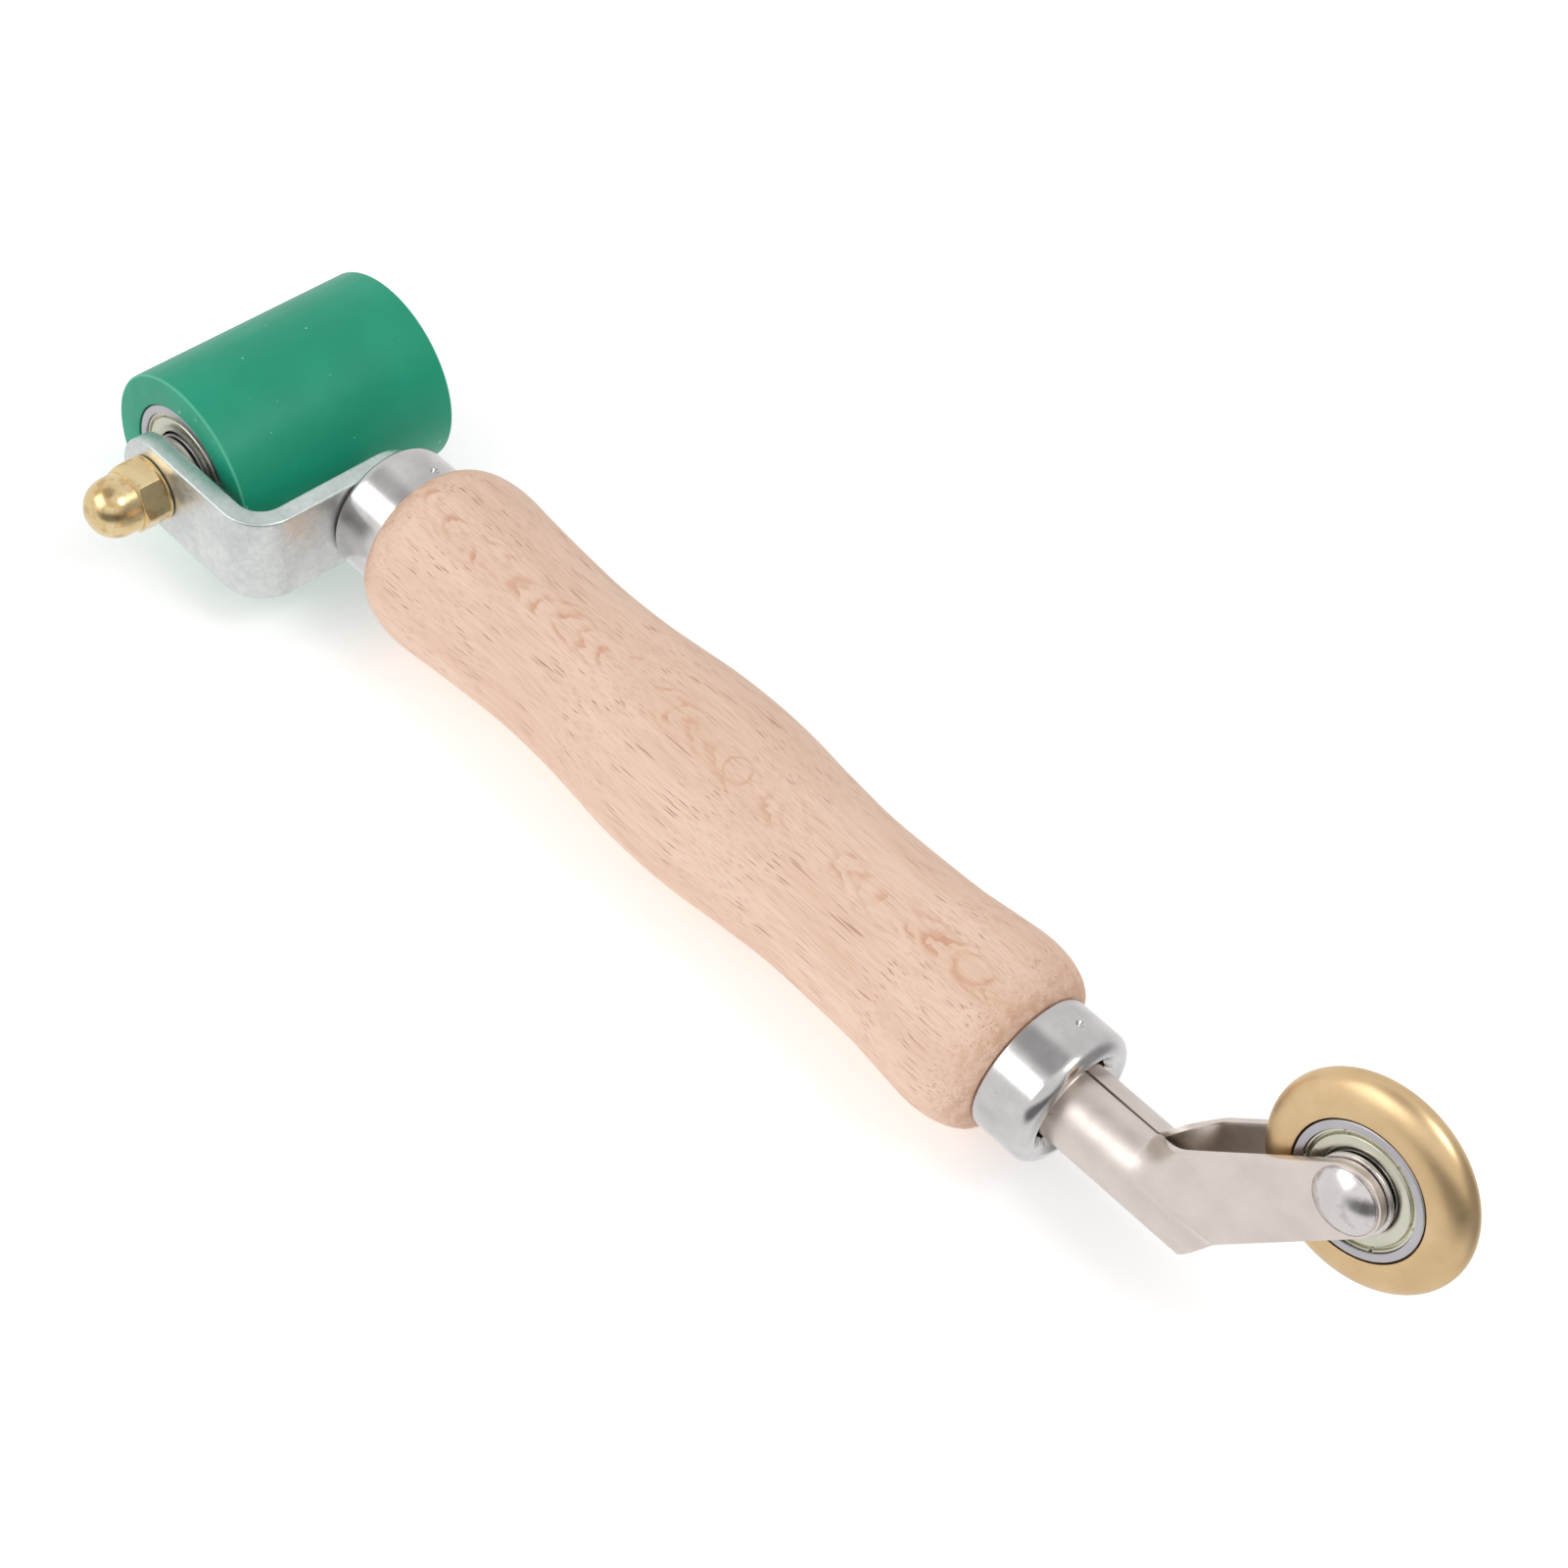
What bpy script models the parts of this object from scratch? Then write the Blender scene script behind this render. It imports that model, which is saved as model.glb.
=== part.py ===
"""Double-ended seam roller: silicone roller on an L-bracket, turned handle, brass wheel in a fork.

Frame: the handle's axis is +X, running from the silicone roller towards the brass wheel.
The silicone roller turns about +Y, and +Z is up. Lengths below are in millimetres.
"""

import math

import bmesh
import bpy
from mathutils import Matrix, Vector

MM = 0.001

# Clearances kept between neighbouring pieces
GAP = 0.30
FIT = 0.20

# Silicone roller
ROLLER_X = -92.4
ROLLER_R = 16.0
ROLLER_LEFT = -20.15
ROLLER_RIGHT = 19.85
SLEEVE_LIP = 1.2
SLEEVE_EDGE = 0.25
CORE_R = 12.6

# Roller bearings, 22 x 8 x 7
BIG_OUTER_R = 11.0
BIG_BORE_R = 4.05
BIG_HALF = 3.5
BIG_PITCH = 7.5
BIG_BALL = 1.90
BIG_RACE = 2.10
BIG_LAND_OUT = 9.00
BIG_LAND_IN = 6.10
BIG_SEAT = 9.60
BEARING_INSET = 0.20

# Wheel bearing, 19 x 6 x 6
SMALL_OUTER_R = 9.5
SMALL_BORE_R = 3.05
SMALL_HALF = 3.0
SMALL_PITCH = 6.25
SMALL_BALL = 1.65
SMALL_RACE = 1.85
SMALL_LAND_OUT = 7.60
SMALL_LAND_IN = 4.90
SMALL_SEAT = 8.30

BALLS = 7

# L-bracket bent from flat strap
STRAP_T = 3.2
STRAP_HALF = 7.8
ARM_OUT_Y = -25.5
PLATE_REAR_X = -68.0
BEND_OUT_R = 7.25
STRAP_CHAMFER = 0.35

# Roller axle and cap nut
AXLE_R = 3.80
THREAD_R = 3.00
HEAD_R = 6.5
HEAD_H = 2.9
NUT_AF = 10.0
NUT_COLLAR_R = 5.35
NUT_COLLAR_T = 0.5
NUT_HEX_TOP = 4.6
NUT_DOME_R = 4.75
NUT_HEIGHT = 11.9
NUT_TURN = 57.0

# Handle and ferrules
HANDLE_FRONT = -58.8
HANDLE_REAR = 66.1
TENON_R = 9.45
FERRULE_R = 10.62
FERRULE_T = 0.85
FERRULE_FRONT_END = -67.7
FERRULE_REAR_END = 75.6
FERRULE_REAR_ROLL = 2.2
FERRULE_HOLE_R = 6.60
TANG_R = 4.0
TANG_DEPTH = 45.0
SHANK_DEPTH = 24.0

# Handle radius along its length: two end swells, a belly and two waists
HANDLE_CURVE = (
    (-58.8, 11.10), (-58.4, 12.00), (-57.3, 13.05), (-55.4, 13.95), (-53.0, 14.50),
    (-50.0, 14.68), (-43.3, 14.16), (-36.6, 13.67), (-26.7, 13.22), (-17.0, 13.50),
    (-10.5, 14.08), (-4.2, 14.68), (4.0, 14.96), (11.3, 14.70), (20.2, 13.83),
    (29.0, 13.22), (37.7, 13.27), (46.3, 13.55), (52.0, 14.13), (57.5, 14.60),
    (60.8, 14.35), (63.4, 13.60), (65.2, 12.50), (66.1, 11.10),
)

# Fork, pressed from one sheet: split-tube shank opening into two arms
FORK_TWIST = -9.86
FORK_R = 6.03
FORK_T = 1.25
SEAM_HALF = 0.25
ARM_Y = 5.40
ARM_END_R = 5.3
ARM_TOP_SLOPE = 42.6
SHANK_END = 87.3
ARM_START = 92.6
HEEL_X = 97.0
KNEE_X = 102.3
RIVET_HOLE_R = 3.2

# Crease between the fork's round shank and its flat arms
CREASE = math.asin(ARM_Y / FORK_R)
CREASE_Z = FORK_R * math.cos(CREASE)
CREASE_TURN = math.pi - CREASE
SEAM_RUN = FORK_R * CREASE - SEAM_HALF

# Brass wheel and its rivet
WHEEL_X = 114.56
WHEEL_Z = 24.02
WHEEL_R = 15.0
WHEEL_HALF = 3.0
RIVET_R = 2.80
RIVET_HEAD_R = 4.66
RIVET_HEAD_H = 2.0
RIVET_WASHER_R = 5.2

# Facets around a full turn
FINE = 40
ROUND = 32
COARSE = 24

GREEN = (0.026, 0.325, 0.185, 1.0)
WOOD = (0.80, 0.58, 0.41, 1.0)
ZINC = (0.62, 0.64, 0.645, 1.0)
BRIGHT = (0.66, 0.65, 0.665, 1.0)
NICKEL = (0.62, 0.57, 0.53, 1.0)
BRASS = (0.66, 0.43, 0.19, 1.0)
NUT_BRASS = (0.62, 0.42, 0.18, 1.0)
STEEL = (0.52, 0.52, 0.54, 1.0)
SHIELD = (0.58, 0.61, 0.46, 1.0)
POLISHED = (0.66, 0.63, 0.61, 1.0)
ALLOY = (0.60, 0.61, 0.62, 1.0)


def clear_scene():
    """Remove every object that the start-up file brings."""
    for item in list(bpy.data.objects):
        bpy.data.objects.remove(item, do_unlink=True)


def material(name, colour, roughness, metallic):
    """One Principled material for one piece."""
    mat = bpy.data.materials.new(name + "_mat")
    mat.use_nodes = True
    shader = mat.node_tree.nodes["Principled BSDF"]
    shader.inputs["Base Color"].default_value = colour
    shader.inputs["Roughness"].default_value = roughness
    shader.inputs["Metallic"].default_value = metallic
    mat.diffuse_color = colour
    return mat


def add_object(name, bm, look, origin=(0.0, 0.0, 0.0), turn=None):
    """Turn a bmesh in millimetres into a named object in metres with its own material."""
    bmesh.ops.remove_doubles(bm, verts=bm.verts, dist=0.001)
    bmesh.ops.recalc_face_normals(bm, faces=bm.faces)
    mesh = bpy.data.meshes.new(name)
    bm.to_mesh(mesh)
    bm.free()
    if turn is not None:
        mesh.transform(turn)
    mesh.transform(Matrix.Scale(MM, 4))
    mesh.shade_smooth()
    mesh.set_sharp_from_angle(angle=math.radians(32.0))
    obj = bpy.data.objects.new(name, mesh)
    obj.location = Vector(origin) * MM
    bpy.context.scene.collection.objects.link(obj)
    if look is not None:
        mesh.materials.append(material(name, *look))
    return obj


def skin(rings, loop=False):
    """Join a series of point rings with faces. A ring of one point is a pole."""
    bm = bmesh.new()
    rows = [[bm.verts.new(point) for point in ring] for ring in rings]
    pairs = list(zip(rows, rows[1:]))
    if loop:
        pairs.append((rows[-1], rows[0]))
    for first, second in pairs:
        count = max(len(first), len(second))
        if count == 1:
            continue
        for i in range(count):
            j = (i + 1) % count
            if len(first) == 1:
                bm.faces.new((first[0], second[i], second[j]))
            elif len(second) == 1:
                bm.faces.new((first[i], second[0], first[j]))
            else:
                bm.faces.new((first[i], second[i], second[j], first[j]))
    return bm


def on_x(along, u, v):
    """Point for a body that turns about X."""
    return (along, u, v)


def on_y(along, u, v):
    """Point for a body that turns about Y."""
    return (u, along, v)


def revolve(profile, segments, place, loop=False):
    """Body of revolution from (along, radius) points, either pole to pole or a closed loop."""
    rings = []
    for along, radius in profile:
        if radius < 1e-6:
            rings.append([place(along, 0.0, 0.0)])
            continue
        ring = []
        for i in range(segments):
            angle = 2.0 * math.pi * i / segments
            ring.append(place(along, radius * math.cos(angle), radius * math.sin(angle)))
        rings.append(ring)
    return skin(rings, loop)


def arc(centre_a, centre_r, radius, start, end, steps):
    """Points (along, radius) on a circular arc, angles in degrees from the +along direction."""
    points = []
    for i in range(steps + 1):
        angle = math.radians(start + (end - start) * i / steps)
        points.append((centre_a + radius * math.cos(angle), centre_r + radius * math.sin(angle)))
    return points


def smoothstep(low, high, value):
    """Ease from 0 to 1 between two limits."""
    t = min(1.0, max(0.0, (value - low) / (high - low)))
    return t * t * (3.0 - 2.0 * t)


def cylinder_cutter(name, radius, start, end, place, origin=(0.0, 0.0, 0.0), turn=None):
    """Hidden cylinder used to cut a round hole."""
    profile = [(start, 0.0), (start, radius), (end, radius), (end, 0.0)]
    cutter = add_object(name, revolve(profile, COARSE, place), None, origin, turn)
    cutter.hide_render = True
    cutter.display_type = "WIRE"
    return cutter


def cut(obj, cutter):
    """Cut one body out of another with an exact Boolean."""
    modifier = obj.modifiers.new("cut_" + cutter.name, "BOOLEAN")
    modifier.operation = "DIFFERENCE"
    modifier.solver = "EXACT"
    modifier.object = cutter


# ---------------------------------------------------------------- bearings


def groove(half, land, pitch, race, sign, steps):
    """Raceway points from -half to +half on a land radius, dipping into the ball groove."""
    reach = math.sqrt(race * race - (pitch - land) ** 2)
    points = [(-half, land)]
    for i in range(steps + 1):
        along = -reach + 2.0 * reach * i / steps
        points.append((along, pitch + sign * math.sqrt(race * race - along * along)))
    points.append((half, land))
    return points


def outer_ring(name, size, origin, turn):
    """Bearing outer ring with a ball groove and a seat for each shield."""
    radius, half, pitch, race, land, seat = size
    shoulder = half - 1.05
    profile = [(-half, seat), (-half, radius), (half, radius), (half, seat), (shoulder, seat)]
    profile += reversed(groove(shoulder, land, pitch, race, 1.0, 3))
    profile += [(-shoulder, seat)]
    look = (STEEL, 0.30, 1.0)
    return add_object(name, revolve(profile, COARSE, on_y, True), look, origin, turn)


def inner_ring(name, size, origin, turn):
    """Bearing inner ring with a ball groove."""
    bore, half, pitch, race, land = size
    profile = groove(half, land, pitch, race, -1.0, 3)
    profile += [(half, bore), (-half, bore)]
    look = (STEEL, 0.28, 1.0)
    return add_object(name, revolve(profile, COARSE, on_y, True), look, origin, turn)


def shield(name, size, side, origin, turn):
    """Thin domed steel shield that closes the gap between the rings."""
    half, land_in, seat = size
    rim = seat - GAP
    inner = land_in + GAP
    face = half - 0.12
    thick = 0.35
    mid = 0.5 * (rim + inner)
    outside = [(face - 0.40, rim), (face, mid), (face - 0.25, inner)]
    inside = [(along - thick, radius) for along, radius in reversed(outside)]
    profile = [(side * along, radius) for along, radius in outside + inside]
    look = (SHIELD, 0.32, 1.0)
    return add_object(name, revolve(profile, COARSE, on_y, True), look, origin, turn)


def cage(name, size, origin, turn):
    """Crown cage: a ring beside the balls with a finger between each pair."""
    pitch, ball, low_r, high_r, back = size
    keep = ball + 0.16
    per_ball = 6
    rings = []
    for i in range(BALLS * per_ball):
        angle = 2.0 * math.pi * i / (BALLS * per_ball)
        step = 2.0 * math.pi / BALLS
        offset = abs((angle + 0.5 * step) % step - 0.5 * step)
        offset = max(0.0, offset - 0.8 * step / per_ball)
        front = -0.5 * ball
        for radius in (low_r, pitch, high_r):
            away = radius ** 2 + pitch ** 2 - 2.0 * radius * pitch * math.cos(offset)
            if away < keep * keep:
                front = max(front, math.sqrt(keep * keep - away))
        ring = []
        for radius, along in ((low_r, front), (high_r, front), (high_r, back), (low_r, back)):
            ring.append(on_y(along, radius * math.cos(angle), radius * math.sin(angle)))
        rings.append(ring)
    look = (ALLOY, 0.40, 1.0)
    return add_object(name, skin(rings, True), look, origin, turn)


def balls(prefix, pitch, radius, origin, turn):
    """One object per ball, spread evenly on the pitch circle."""
    for i in range(BALLS):
        angle = 2.0 * math.pi * i / BALLS
        bm = bmesh.new()
        bmesh.ops.create_icosphere(bm, subdivisions=2, radius=radius)
        offset = Vector(on_y(0.0, pitch * math.cos(angle), pitch * math.sin(angle)))
        bmesh.ops.translate(bm, verts=bm.verts, vec=offset)
        add_object("%s_ball_%d" % (prefix, i + 1), bm, (POLISHED, 0.12, 1.0), origin, turn)


def big_bearing(prefix, centre_y):
    """All pieces of one roller bearing."""
    origin = (ROLLER_X, 0.0, 0.0)
    turn = Matrix.Translation((0.0, centre_y, 0.0))
    outer_ring(prefix + "_outer_ring",
               (BIG_OUTER_R, BIG_HALF, BIG_PITCH, BIG_RACE, BIG_LAND_OUT, BIG_SEAT), origin, turn)
    inner_ring(prefix + "_inner_ring",
               (BIG_BORE_R, BIG_HALF, BIG_PITCH, BIG_RACE, BIG_LAND_IN), origin, turn)
    shield(prefix + "_shield_left", (BIG_HALF, BIG_LAND_IN, BIG_SEAT), -1.0, origin, turn)
    shield(prefix + "_shield_right", (BIG_HALF, BIG_LAND_IN, BIG_SEAT), 1.0, origin, turn)
    cage(prefix + "_cage", (BIG_PITCH, BIG_BALL, 6.6, 8.6, 2.45), origin, turn)
    balls(prefix, BIG_PITCH, BIG_BALL, origin, turn)


def small_bearing(prefix, origin, turn):
    """All pieces of the brass wheel's bearing."""
    outer_ring(prefix + "_outer_ring",
               (SMALL_OUTER_R, SMALL_HALF, SMALL_PITCH, SMALL_RACE, SMALL_LAND_OUT, SMALL_SEAT),
               origin, turn)
    inner_ring(prefix + "_inner_ring",
               (SMALL_BORE_R, SMALL_HALF, SMALL_PITCH, SMALL_RACE, SMALL_LAND_IN), origin, turn)
    shield(prefix + "_shield_left", (SMALL_HALF, SMALL_LAND_IN, SMALL_SEAT), -1.0, origin, turn)
    shield(prefix + "_shield_right", (SMALL_HALF, SMALL_LAND_IN, SMALL_SEAT), 1.0, origin, turn)
    cage(prefix + "_cage", (SMALL_PITCH, SMALL_BALL, 5.45, 7.15, 2.05), origin, turn)
    balls(prefix, SMALL_PITCH, SMALL_BALL, origin, turn)


# ---------------------------------------------------------------- roller end


def silicone_sleeve():
    """Thick silicone tube that overlaps the ends of its core."""
    bore = BIG_OUTER_R + 0.5 * FIT
    edge = SLEEVE_EDGE
    left = ROLLER_LEFT
    right = ROLLER_RIGHT
    profile = [(left, bore), (left, ROLLER_R - edge), (left + edge, ROLLER_R)]
    profile += [(right - edge, ROLLER_R), (right, ROLLER_R - edge), (right, bore)]
    profile += [(right - SLEEVE_LIP, bore), (right - SLEEVE_LIP, CORE_R + FIT)]
    profile += [(left + SLEEVE_LIP, CORE_R + FIT), (left + SLEEVE_LIP, bore)]
    bm = revolve(profile, FINE, on_y, True)
    add_object("silicone_sleeve", bm, (GREEN, 0.42, 0.0), (ROLLER_X, 0.0, 0.0))


def roller_core():
    """Aluminium tube inside the silicone, stepped to seat a bearing at each end."""
    left = ROLLER_LEFT + SLEEVE_LIP + GAP
    right = ROLLER_RIGHT - SLEEVE_LIP - GAP
    bore = BIG_OUTER_R + FIT
    seat_left = ROLLER_LEFT + BEARING_INSET + 2.0 * BIG_HALF + GAP
    seat_right = ROLLER_RIGHT - BEARING_INSET - 2.0 * BIG_HALF - GAP
    profile = [(left, bore), (left, CORE_R), (right, CORE_R), (right, bore)]
    profile += [(seat_right, bore), (seat_right, bore - 1.5)]
    profile += [(seat_left, bore - 1.5), (seat_left, bore)]
    bm = revolve(profile, ROUND, on_y, True)
    add_object("roller_core", bm, (ALLOY, 0.35, 1.0), (ROLLER_X, 0.0, 0.0))


def ring_on_y(name, low_r, high_r, start, end, look, origin, turn=None):
    """Plain washer or tube about Y."""
    profile = [(start, low_r), (start, high_r), (end, high_r), (end, low_r)]
    return add_object(name, revolve(profile, COARSE, on_y, True), look, origin, turn)


def axle_bolt():
    """Shouldered axle: domed head, plain shank, threaded end for the cap nut."""
    shoulder = ARM_OUT_Y + STRAP_T + GAP
    head_in = ROLLER_RIGHT + 1.0
    head_out = head_in + HEAD_H
    tip = ARM_OUT_Y - 7.2
    profile = [(tip, 0.0), (tip, THREAD_R - 0.5), (tip + 0.5, THREAD_R), (shoulder, THREAD_R)]
    profile += [(shoulder, AXLE_R), (head_in, AXLE_R), (head_in, HEAD_R), (head_in + 1.3, HEAD_R)]
    profile += [(head_out - 0.5, HEAD_R - 1.1), (head_out, HEAD_R - 3.0), (head_out, 0.0)]
    bm = revolve(profile, COARSE, on_y)
    add_object("roller_axle", bm, (POLISHED, 0.25, 1.0), (ROLLER_X, 0.0, 0.0))


def cap_nut():
    """Brass acorn nut: round collar, hexagon, dome and a blind threaded hole."""
    base = ARM_OUT_Y - FIT
    tip = ARM_OUT_Y - NUT_HEIGHT
    hex_top = ARM_OUT_Y - NUT_HEX_TOP - NUT_COLLAR_T
    half_flat = 0.5 * NUT_AF
    corner = half_flat / math.cos(math.radians(30.0))
    dome_centre = tip + NUT_DOME_R
    bore = THREAD_R + FIT
    segments = 24

    def hexagon(angle, limit):
        turn = (angle - math.radians(NUT_TURN) + math.radians(30.0)) % math.radians(60.0)
        return min(limit, half_flat / math.cos(turn - math.radians(30.0)))

    def ring(along, limit, six_sided):
        points = []
        for i in range(segments):
            angle = 2.0 * math.pi * i / segments + math.radians(NUT_TURN)
            radius = hexagon(angle + math.radians(30.0), limit) if six_sided else limit
            points.append(on_y(along, radius * math.cos(angle), radius * math.sin(angle)))
        return points

    rings = [ring(base, bore, False), ring(base, NUT_COLLAR_R, False)]
    rings += [ring(base - NUT_COLLAR_T + 0.15, NUT_COLLAR_R, False)]
    rings += [ring(base - NUT_COLLAR_T, NUT_COLLAR_R - 0.12, False)]
    rings += [ring(base - NUT_COLLAR_T, corner - 0.25, True)]
    rings += [ring(base - NUT_COLLAR_T - 0.3, corner, True), ring(hex_top + 0.55, corner, True)]
    rings += [ring(hex_top, NUT_DOME_R + 0.1, True), ring(hex_top, NUT_DOME_R, False)]
    for along, radius in arc(dome_centre, 0.0, NUT_DOME_R, 90.0, 172.0, 6):
        rings.append(ring(along, radius, False))
    rings.append([on_y(tip, 0.0, 0.0)])
    rings.append([on_y(tip + 2.6, 0.0, 0.0)])
    rings.append(ring(tip + 2.6, bore, False))
    bm = skin(rings, True)
    add_object("cap_nut", bm, (NUT_BRASS, 0.18, 1.0), (ROLLER_X, 0.0, 0.0))


def strap_section(centre, across, half_width):
    """Chamfered rectangle across the strap at one station of its path."""
    bevel = min(STRAP_CHAMFER, 0.5 * half_width)
    half_t = 0.5 * STRAP_T
    corners = ((half_t - bevel, half_width), (half_t, half_width - bevel),
               (half_t, bevel - half_width), (half_t - bevel, -half_width),
               (bevel - half_t, -half_width), (-half_t, bevel - half_width),
               (-half_t, half_width - bevel), (bevel - half_t, half_width))
    points = []
    for out, up in corners:
        points.append((centre[0] + across[0] * out, centre[1] + across[1] * out, up))
    return points


def l_bracket():
    """Flat strap bent once: a rounded arm for the axle, a rounded plate for the tang."""
    arm_y = ARM_OUT_Y + 0.5 * STRAP_T
    plate_x = PLATE_REAR_X - 0.5 * STRAP_T
    bend_r = BEND_OUT_R - 0.5 * STRAP_T
    bend = (plate_x - bend_r, arm_y + bend_r)
    turns = [math.radians(angle) for angle in (86.0, 78.0, 66.0, 52.0, 38.0, 24.0, 12.0, 0.0)]
    rings = []
    for angle in turns:
        centre = (ROLLER_X - STRAP_HALF * math.sin(angle), arm_y)
        rings.append(strap_section(centre, (0.0, -1.0), STRAP_HALF * math.cos(angle)))
    for i in range(9):
        angle = math.radians(-90.0 + 90.0 * i / 8)
        out = (math.cos(angle), math.sin(angle))
        centre = (bend[0] + bend_r * out[0], bend[1] + bend_r * out[1])
        rings.append(strap_section(centre, out, STRAP_HALF))
    for angle in reversed(turns):
        centre = (plate_x, STRAP_HALF * math.sin(angle))
        rings.append(strap_section(centre, (1.0, 0.0), STRAP_HALF * math.cos(angle)))
    bm = skin(rings)
    bm.verts.ensure_lookup_table()
    bm.faces.new(bm.verts[:8])
    bm.faces.new(bm.verts[-8:])
    bracket = add_object("l_bracket", bm, (ZINC, 0.34, 1.0))
    axle_hole = cylinder_cutter("axle_hole_cutter", THREAD_R + GAP, ARM_OUT_Y - 2.0,
                                ARM_OUT_Y + STRAP_T + 2.0, on_y, (ROLLER_X, 0.0, 0.0))
    cut(bracket, axle_hole)
    tang_hole = cylinder_cutter("tang_hole_cutter", TANG_R + FIT, PLATE_REAR_X - STRAP_T - 2.0,
                                PLATE_REAR_X + 2.0, on_x)
    cut(bracket, tang_hole)


def tang():
    """Round steel tang: a flat riveted head in front of the plate, a shank deep in the handle."""
    head_rear = PLATE_REAR_X - STRAP_T - FIT
    head_front = head_rear - 1.4
    end = HANDLE_FRONT + TANG_DEPTH
    profile = [(head_front, 0.0), (head_front, 4.6), (head_front + 0.6, 5.6), (head_rear, 5.8)]
    profile += [(head_rear, TANG_R), (end - 1.5, TANG_R), (end, TANG_R - 1.2), (end, 0.0)]
    add_object("tang", revolve(profile, COARSE, on_x), (STEEL, 0.35, 1.0))


# ---------------------------------------------------------------- handle


def handle_radius(x):
    """Smooth curve through the handle's turning radii."""
    points = HANDLE_CURVE
    last = len(points) - 1
    for i in range(last):
        x0, r0 = points[i]
        x1, r1 = points[i + 1]
        if x <= x1 or i == last - 1:
            before = points[max(0, i - 1)]
            after = points[min(last, i + 2)]
            span = x1 - x0
            t = min(1.0, max(0.0, (x - x0) / span))
            m0 = (r1 - before[1]) / (x1 - before[0]) * span
            m1 = (after[1] - r0) / (after[0] - x0) * span
            t2 = t * t
            t3 = t2 * t
            return ((2 * t3 - 3 * t2 + 1) * r0 + (t3 - 2 * t2 + t) * m0
                    + (3 * t2 - 2 * t3) * r1 + (t3 - t2) * m1)
    return points[-1][1]


def handle():
    """Turned beech handle with a tenon and a blind bore at each end."""
    front_tenon = FERRULE_FRONT_END + FERRULE_T + GAP
    rear_tenon = HANDLE_REAR + 5.6
    tang_bore = TANG_R + FIT
    shank_bore = FORK_R + FIT
    tang_end = HANDLE_FRONT + TANG_DEPTH + GAP
    shank_end = HANDLE_REAR - SHANK_DEPTH - GAP
    stations = [point[0] for point in HANDLE_CURVE]
    dense = []
    for x0, x1 in zip(stations, stations[1:]):
        steps = 2 if x1 - x0 > 8.5 else 1
        dense += [x0 + (x1 - x0) * i / steps for i in range(steps)]
    dense.append(stations[-1])
    profile = [(tang_end, 0.0), (tang_end, tang_bore), (front_tenon, tang_bore)]
    profile += [(front_tenon, TENON_R), (HANDLE_FRONT, TENON_R)]
    profile += [(x, handle_radius(x)) for x in dense]
    profile += [(HANDLE_REAR, TENON_R), (rear_tenon, TENON_R), (rear_tenon, shank_bore)]
    profile += [(shank_end, shank_bore), (shank_end, 0.0)]
    add_object("handle", revolve(profile, ROUND, on_x), (WOOD, 0.55, 0.0))


def ferrule_front():
    """Short bright cup on the handle's front tenon."""
    start = HANDLE_FRONT - FIT
    end = FERRULE_FRONT_END
    edge = 0.8
    outside = [(start, FERRULE_R - 0.15), (start - 0.15, FERRULE_R)]
    outside += arc(end + edge, FERRULE_R - edge, edge, 90.0, 180.0, 3)
    hole = TANG_R + GAP
    inside = [(end, hole), (end + FERRULE_T, hole)]
    inside += [(end + FERRULE_T, FERRULE_R - FERRULE_T), (start, FERRULE_R - FERRULE_T)]
    bm = revolve(outside + inside, ROUND, on_x, True)
    add_object("ferrule_front", bm, (BRIGHT, 0.22, 1.0))


def ferrule_rear():
    """Bright cup on the rear tenon whose end rolls over and dips to the shank hole."""
    start = HANDLE_REAR + FIT
    roll = FERRULE_REAR_ROLL
    centre = (FERRULE_REAR_END - roll, FERRULE_R - roll)
    hole_x = FERRULE_REAR_END - 2.1
    outside = [(start, FERRULE_R - 0.15), (start + 0.15, FERRULE_R)]
    outside += arc(centre[0], centre[1], roll, 90.0, 0.0, 5)
    outside += [(FERRULE_REAR_END - 0.45, 7.55), (hole_x + 0.5, FERRULE_HOLE_R)]
    inner = roll - FERRULE_T
    inside = [(hole_x - 0.1, FERRULE_HOLE_R + 0.1), (FERRULE_REAR_END - 1.2, 7.9)]
    inside += arc(centre[0], centre[1], inner, 10.0, 90.0, 3)
    inside += [(start, FERRULE_R - FERRULE_T)]
    bm = revolve(outside + inside, ROUND, on_x, True)
    add_object("ferrule_rear", bm, (BRIGHT, 0.22, 1.0))


# ---------------------------------------------------------------- fork end


def fork_turn():
    """The fork sits turned about the handle's axis."""
    return Matrix.Rotation(math.radians(FORK_TWIST), 4, "X")


def arm_top(x):
    """Upper edge of the arms in side view."""
    slope = math.radians(ARM_TOP_SLOPE)
    if x > WHEEL_X - ARM_END_R * math.sin(slope):
        return WHEEL_Z + math.sqrt(max(0.0, ARM_END_R ** 2 - (x - WHEEL_X) ** 2))
    offset = ARM_END_R / math.cos(slope)
    return WHEEL_Z + offset + math.tan(slope) * (x - WHEEL_X)


def arm_bottom(x):
    """Lower edge of the arms in side view, from the knee to the rounded end."""
    run = WHEEL_X - KNEE_X
    rise = WHEEL_Z - CREASE_Z
    slope = math.atan2(rise, run) - math.asin(ARM_END_R / math.hypot(run, rise))
    if x > WHEEL_X + ARM_END_R * math.sin(slope):
        return WHEEL_Z - math.sqrt(max(0.0, ARM_END_R ** 2 - (x - WHEEL_X) ** 2))
    return CREASE_Z + math.tan(slope) * (x - KNEE_X)


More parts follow.
